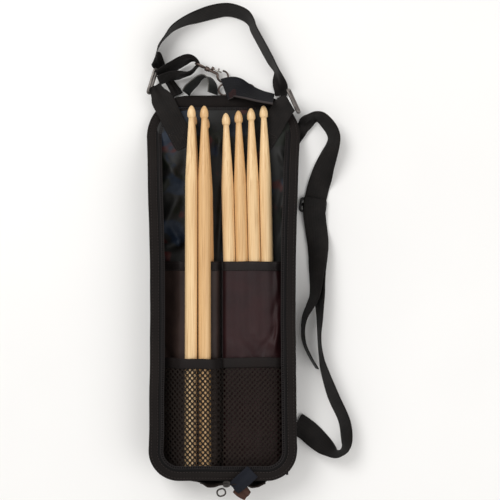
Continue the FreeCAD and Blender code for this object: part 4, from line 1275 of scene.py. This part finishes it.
CARRY_STRAP = [
    (-52.6, 216.4, 2.6, 0, 14), (-55.4, 222.0, 1.8, 0, 12), (-60.4, 230.0, 1.1, 0, 10),
    (-66.4, 238.6, 1.2, 0, 10), (-71.6, 247.0, 2.2, 8, 12), (-75.4, 254.4, 7.4, 44, 18),
    (-75.8, 261.0, 12.9, 92),
    (-73.3, 270.5, 12.9, 95), (-66.5, 280.6, 12.9, 94), (-57.3, 290.8, 12.9, 86),
    (-43.8, 298.8, 12.7, 77), (-30.3, 303.7, 12.2, 67), (-13.4, 309.1, 11.8, 62),
    (1.8, 311.8, 12.0, 64), (14.5, 310.0, 12.1, 65), (25.5, 304.9, 12.3, 68),
    (31.5, 297.6, 12.6, 74), (34.4, 289.2, 12.6, 75), (43.6, 272.3, 12.6, 75),
    (52.9, 255.4, 12.6, 75), (60.4, 242.0, 12.8, 80), (63.6, 230.0, 9.4, 48, 20),
    (65.2, 221.0, 4.6, 14, 15), (65.4, 215.4, 2.8, 0, 14)]
SHOULDER_STRAP = [
    (79.5, 164.5, 2.9, 0, 15), (86.0, 173.5, 2.9, 0, 15), (91.2, 181.0, 3.0, 0, 15),
    (95.4, 186.4, 8.0, 44, 19), (99.6, 189.4, 11.6, 66), (104.5, 191.4, 12.2, 71),
    (110.5, 190.0, 11.9, 66), (116.5, 184.4, 11.4, 62), (122.5, 176.0, 11.3, 61),
    (125.2, 167.6, 11.2, 60), (123.8, 158.6, 10.6, 55), (119.6, 147.5, 9.5, 43),
    (114.8, 134.8, 7.4, 30), (111.0, 122.0, 3.8, 12), (108.0, 112.0, 1.4, 0),
    (105.4, 101.0, 1.1, 0), (102.8, 90.5, 1.1, 0), (103.6, 78.0, 1.1, 0), (105.6, 62.0, 1.1, 0),
    (107.8, 43.0, 7.0, 28), (107.4, 16.0, 10.4, 50), (108.6, -13.0, 12.2, 66),
    (108.9, -35.5, 12.9, 77), (108.3, -58.0, 13.0, 84), (110.4, -79.0, 13.0, 82),
    (114.6, -97.0, 12.6, 72), (124.4, -125.3, 11.6, 61), (136.7, -153.3, 11.6, 61),
    (139.4, -174.0, 12.0, 64), (138.0, -184.0, 12.8, 76), (132.6, -189.6, 13.0, 84),
    (125.0, -189.6, 12.6, 70), (115.8, -183.4, 9.4, 42), (106.0, -175.0, 5.8, 22),
    (96.6, -166.6, 3.4, 6), (88.6, -160.8, 2.9, 0), (82.6, -157.0, 2.9, 0)]
SHOULDER_TAIL = [
    (104.6, 99.0, 5.6, 0), (103.4, 91.0, 5.6, 0), (103.6, 80.0, 5.2, 0), (104.6, 70.0, 3.4, 0),
    (105.8, 61.0, 3.2, 2), (107.0, 43.0, 9.0, 28), (105.4, 16.0, 12.4, 50),
    (103.4, -10.0, 12.9, 66), (97.4, -24.5, 12.9, 74), (92.0, -36.0, 12.9, 80),
    (89.9, -49.5, 12.9, 84), (91.4, -65.0, 12.9, 84), (97.6, -80.0, 12.9, 84),
    (106.0, -94.0, 12.9, 84)]


def make_webbing():
    band("hanger_left_band", HANGER_LEFT, WEBBING, "bag", ["hanger_webbing_left"], seed=1.0)
    band("hanger_right_band", HANGER_RIGHT, WEBBING, "bag", ["hanger_webbing_right"], seed=2.0)
    band("hang_loop_left_band", HANG_LOOP_LEFT, WEBBING, "hang_left", ["hang_loop_left"], seed=3.0)
    band("hang_loop_right_band", HANG_LOOP_RIGHT, WEBBING_NAVY, "bag", ["hang_loop_right"], 2.9, seed=4.0)
    band("grab_handle_band", GRAB_HANDLE, WEBBING_TEAL, "grab_handle", ["grab_handle"], seed=5.0)
    band("carry_strap_band", CARRY_STRAP, WEBBING, "carry_strap", ["carry_strap"], seed=6.0)
    band("shoulder_strap_band", SHOULDER_STRAP, WEBBING, "shoulder_strap",
         ["shoulder_strap_upper", "shoulder_strap_lower"], seed=7.0)
    band("shoulder_tail_band", SHOULDER_TAIL, WEBBING, "shoulder_strap", ["shoulder_strap_tail"], seed=8.0)
    sewn = [box_stitch(HANGER_LEFT, 0.02, 0.26, 2.2, 0.8), box_stitch(HANGER_RIGHT, 0.02, 0.26, 2.2, 0.8)]
    points, faces = merge(sewn)
    piece("hanger_stitches", points, faces, THREAD, "bag")


# ================================================================ metal and plastic
def rounded_loop(length, width, wire, corner, place, steps=6):
    """Centre line of a rounded rectangular loop."""
    half_x, half_y = (length - wire) / 2 - corner, (width - wire) / 2 - corner
    path = []
    for quarter, (side_x, side_y) in enumerate(((1, 1), (-1, 1), (-1, -1), (1, -1))):
        for step in range(steps + 1):
            turn = math.pi / 2 * (quarter + step / steps)
            path.append(place @ Vector((side_x * half_x + corner * math.cos(turn),
                                        side_y * half_y + corner * math.sin(turn), 0)))
    return path


def make_rings():
    left = frame_matrix((-80.4, 230.8, 13.5), (0.30, 0.954, 0.0), (0.93, -0.29, 0.22))
    right = frame_matrix((79.0, 207.8, 18.6), (0.417, -0.909, 0.0), (0.86, 0.395, 0.32))
    for name, place in (("left", left), ("right", right)):
        path = rounded_loop(31.0, 12.0, 3.0, 2.5, place)
        points, faces = tube(path, 1.5, 14, True)
        # The rings use the darkened nickel, painted shade.
        piece("ring_" + name, points, faces, RING_METAL_PAINTED_SHADE, "bag", ["hanger_ring_" + name], "nickel")


def arc_path(place, radius, start, end, steps):
    path = []
    for step in range(steps + 1):
        turn = math.radians(start + (end - start) * step / steps)
        path.append(place @ Vector((radius * math.cos(turn), radius * math.sin(turn), 0)))
    return path


def make_snap(side, eye, along, eye_turn, eye_body):
    """Bolt snap: cast eye and swivel collar, turned hook with an open bow, and its thumb bolt."""
    place = frame_matrix(eye, along, (0, 0, 1))
    turned = place @ Matrix.Rotation(math.radians(eye_turn), 4, "X")
    ring = tube(arc_path(turned, 6.0, 0, 352, 44), 1.1, 12, True)
    collar = lathe([(5.6, 1.4), (6.0, 2.3), (6.5, 2.8), (7.4, 2.95), (7.9, 2.6), (8.3, 2.6), (8.8, 2.95),
                    (9.7, 2.85), (10.15, 2.4), (10.2, 1.2)], place)
    points, faces = merge([ring, collar])
    piece("eye_" + side, points, faces, COPPER_NICKEL, eye_body, ["swivel_eye_" + side], "nickel")

    shaft = lathe([(10.4, 1.2), (10.5, 2.1), (10.9, 2.35), (11.5, 2.3), (11.9, 1.9), (12.6, 1.75),
                   (16.0, 1.65),
                   (19.4, 1.6), (21.4, 1.45), (22.6, 1.0)], place)
    bow_place = place @ Matrix.Translation((28.4, 0, 0)) @ Matrix.Rotation(math.pi, 4, "Z")
    bow = arc_path(bow_place, 6.2, 0, 285, 40)
    widths = [1.5 - 0.45 * min(1.0, step / 12) for step in range(41)]
    bow_mesh = tube(bow, widths, 12)
    bead = blob(Matrix.Translation(bow[-1]), (1.25, 1.25, 1.25), 10, 6)
    sleeve_outer = lathe([(12.6, 1.2), (12.65, 1.75), (13.0, 1.9), (15.2, 1.9), (15.55, 1.7), (15.6, 1.15)],
                         place @ Matrix.Translation((0, 3.3, 0)), 20)
    points, faces = merge([shaft, bow_mesh, bead, sleeve_outer])
    piece("hook_" + side, points, faces, COPPER_NICKEL, "hook_" + side, ["snap_hook_" + side], "nickel")

    offset = place @ Matrix.Translation((0, 3.3, 0))
    rod = lathe([(14.0, 0.4), (14.1, 0.85), (19.8, 0.9), (20.1, 1.25), (20.4, 1.45), (21.4, 1.45),
                 (21.7, 1.2),
                 (22.0, 0.9), (24.9, 0.88), (25.15, 0.5), (25.2, 0.15)], offset, 20)
    thumb = lathe([(0.6, 0.8), (2.0, 0.75), (2.3, 1.1), (2.9, 1.25), (3.3, 1.0), (3.4, 0.3)],
                  offset @ Matrix.Translation((20.9, 0, 0)) @ Matrix.Rotation(math.pi / 2, 4, "Z"), 16)
    points, faces = merge([rod, thumb])
    piece("bolt_" + side, points, faces, NICKEL, "bolt_" + side, ["snap_bolt_" + side], "nickel")


def make_strap_slider():
    place = Matrix.Translation((101.7, 90.5, 3.3)) @ Matrix.Rotation(math.radians(-6.0), 4, "Z")
    frame_path = rounded_loop(31.0, 17.0, 2.9, 2.6, place)
    outer = tube(frame_path, 1.45, 12, True, 0.8, (0, 0, 1))
    bar = tube([place @ Vector((-13.4, 0, 0)), place @ Vector((13.4, 0, 0))], 1.5, 12, False, 0.75, (0, 0, 1))
    points, faces = merge([outer, bar])
    piece("slider_frame", points, faces, ACETAL, "strap_slider", ["strap_slider"], "black_plastic")


def make_zip_end():
    """Slider body with its bridge, the ring pull and the crumpled fabric tab."""
    middle = Vector((4.2, FOLD_Y - 0.2, 50.6))
    parts = []
    for level in (-1.25, 1.25):
        rows = []
        for along, half in ((-3.9, 1.9), (-3.0, 2.9), (-1.0, 3.6), (1.6, 3.4), (3.2, 2.6), (3.9, 1.6)):
            rows.append((along, half))
        top = [middle + Vector((along, half, level + 0.45)) for along, half in rows]
        top += [middle + Vector((along, -half, level + 0.45)) for along, half in rows[::-1]]
        low = [point - Vector((0, 0, 0.9)) for point in top]
        count = len(top)
        faces = [tuple(range(count)), tuple(range(count, 2 * count))[::-1]]
        faces += [(i, (i + 1) % count, (i + 1) % count + count, i + count)[::-1] for i in range(count)]
        parts.append((top + low, faces))
    parts.append(tube([middle + Vector((-0.6, 0, -1.0)), middle + Vector((-0.6, 0, 1.0))], 1.5, 10))
    bridge = [middle + Vector((-3.0 + 6.0 * t / 10, 0, 1.4 + 1.3 * math.sin(math.pi * t / 10)))
              for t in range(11)]
    parts.append(tube(bridge, 0.65, 8))
    points, faces = merge(parts)
    piece("slider_body", points, faces, DARK_METAL, "zip_slider", ["zip_slider"], "nickel", smooth=False)

    place = frame_matrix((-1.6, FOLD_Y - 9.5, 50.6), (0.96, 0.28, 0.0), (0, 0, 1))
    points, faces = tube(rounded_loop(11.0, 9.6, 1.8, 3.6, place), 0.9, 12, True)
    piece("pull_ring", points, faces, DARK_METAL, "zip_pull", ["zip_pull"], "nickel")

    navy = [(33.0, FOLD_Y + 13.4, 49.4, 0, 17.0), (27.0, FOLD_Y + 7.8, 49.8, 0, 17.0),
            (19.6, FOLD_Y + 1.0, 48.9, 0, 17.0), (12.0, FOLD_Y - 6.0, 46.4, 0, 16.0)]
    brown = [(16.0, FOLD_Y - 4.6, 44.0, 0, 15.0), (21.4, FOLD_Y - 9.8, 43.4, 0, 15.0),
             (27.4, FOLD_Y - 15.2, 42.6, 0, 11.0)]
    for made in (band("tab_navy", navy, TAB_NAVY, "bag", ["pull_tab"], 1.2, 8, 11.0, 0.9),
                 band("tab_brown", brown, TAB_BROWN, "bag", ["pull_tab_backing"], 1.2, 8, 12.0, 0.9)):
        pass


# ================================================================ floor
def make_floor():
    mesh = bpy.data.meshes.new("floor")
    reach = 4.0
    level = -0.0004
    mesh.from_pydata([(-reach, -reach, level), (reach, -reach, level),
                      (reach, reach, level), (-reach, reach, level)],
                     [], [(0, 1, 2, 3)])
    finish = Finish("floor_paper", Roughness=0.9)
    finish.colour(finish.ramp(finish.noise(finish.place(), 3.0),
                              (0.3, rgb(243, 242, 240)), (0.7, rgb(247, 246, 244))))
    mesh.materials.append(finish.material)
    floor = bpy.data.objects.new("floor", mesh)
    scene.collection.objects.link(floor)


make_floor()
make_shell()
make_wall_lining()
make_zip()
make_back()
make_lining()
make_top_hem()
make_pocket(True)
make_pocket(False)
make_seam()
make_mesh_pocket(True)
make_mesh_pocket(False)
make_cover()
make_fold()
make_sticks()
make_webbing()
make_rings()
make_snap("left", (-26.1, 248.5, 12.3), (0.86, -0.38, -0.24), 90, "hang_left")
make_snap("right", (28.9, 222.2, 4.4), (-1.0, 0.0, 0.0), 0, "bag")
make_strap_slider()
make_zip_end()
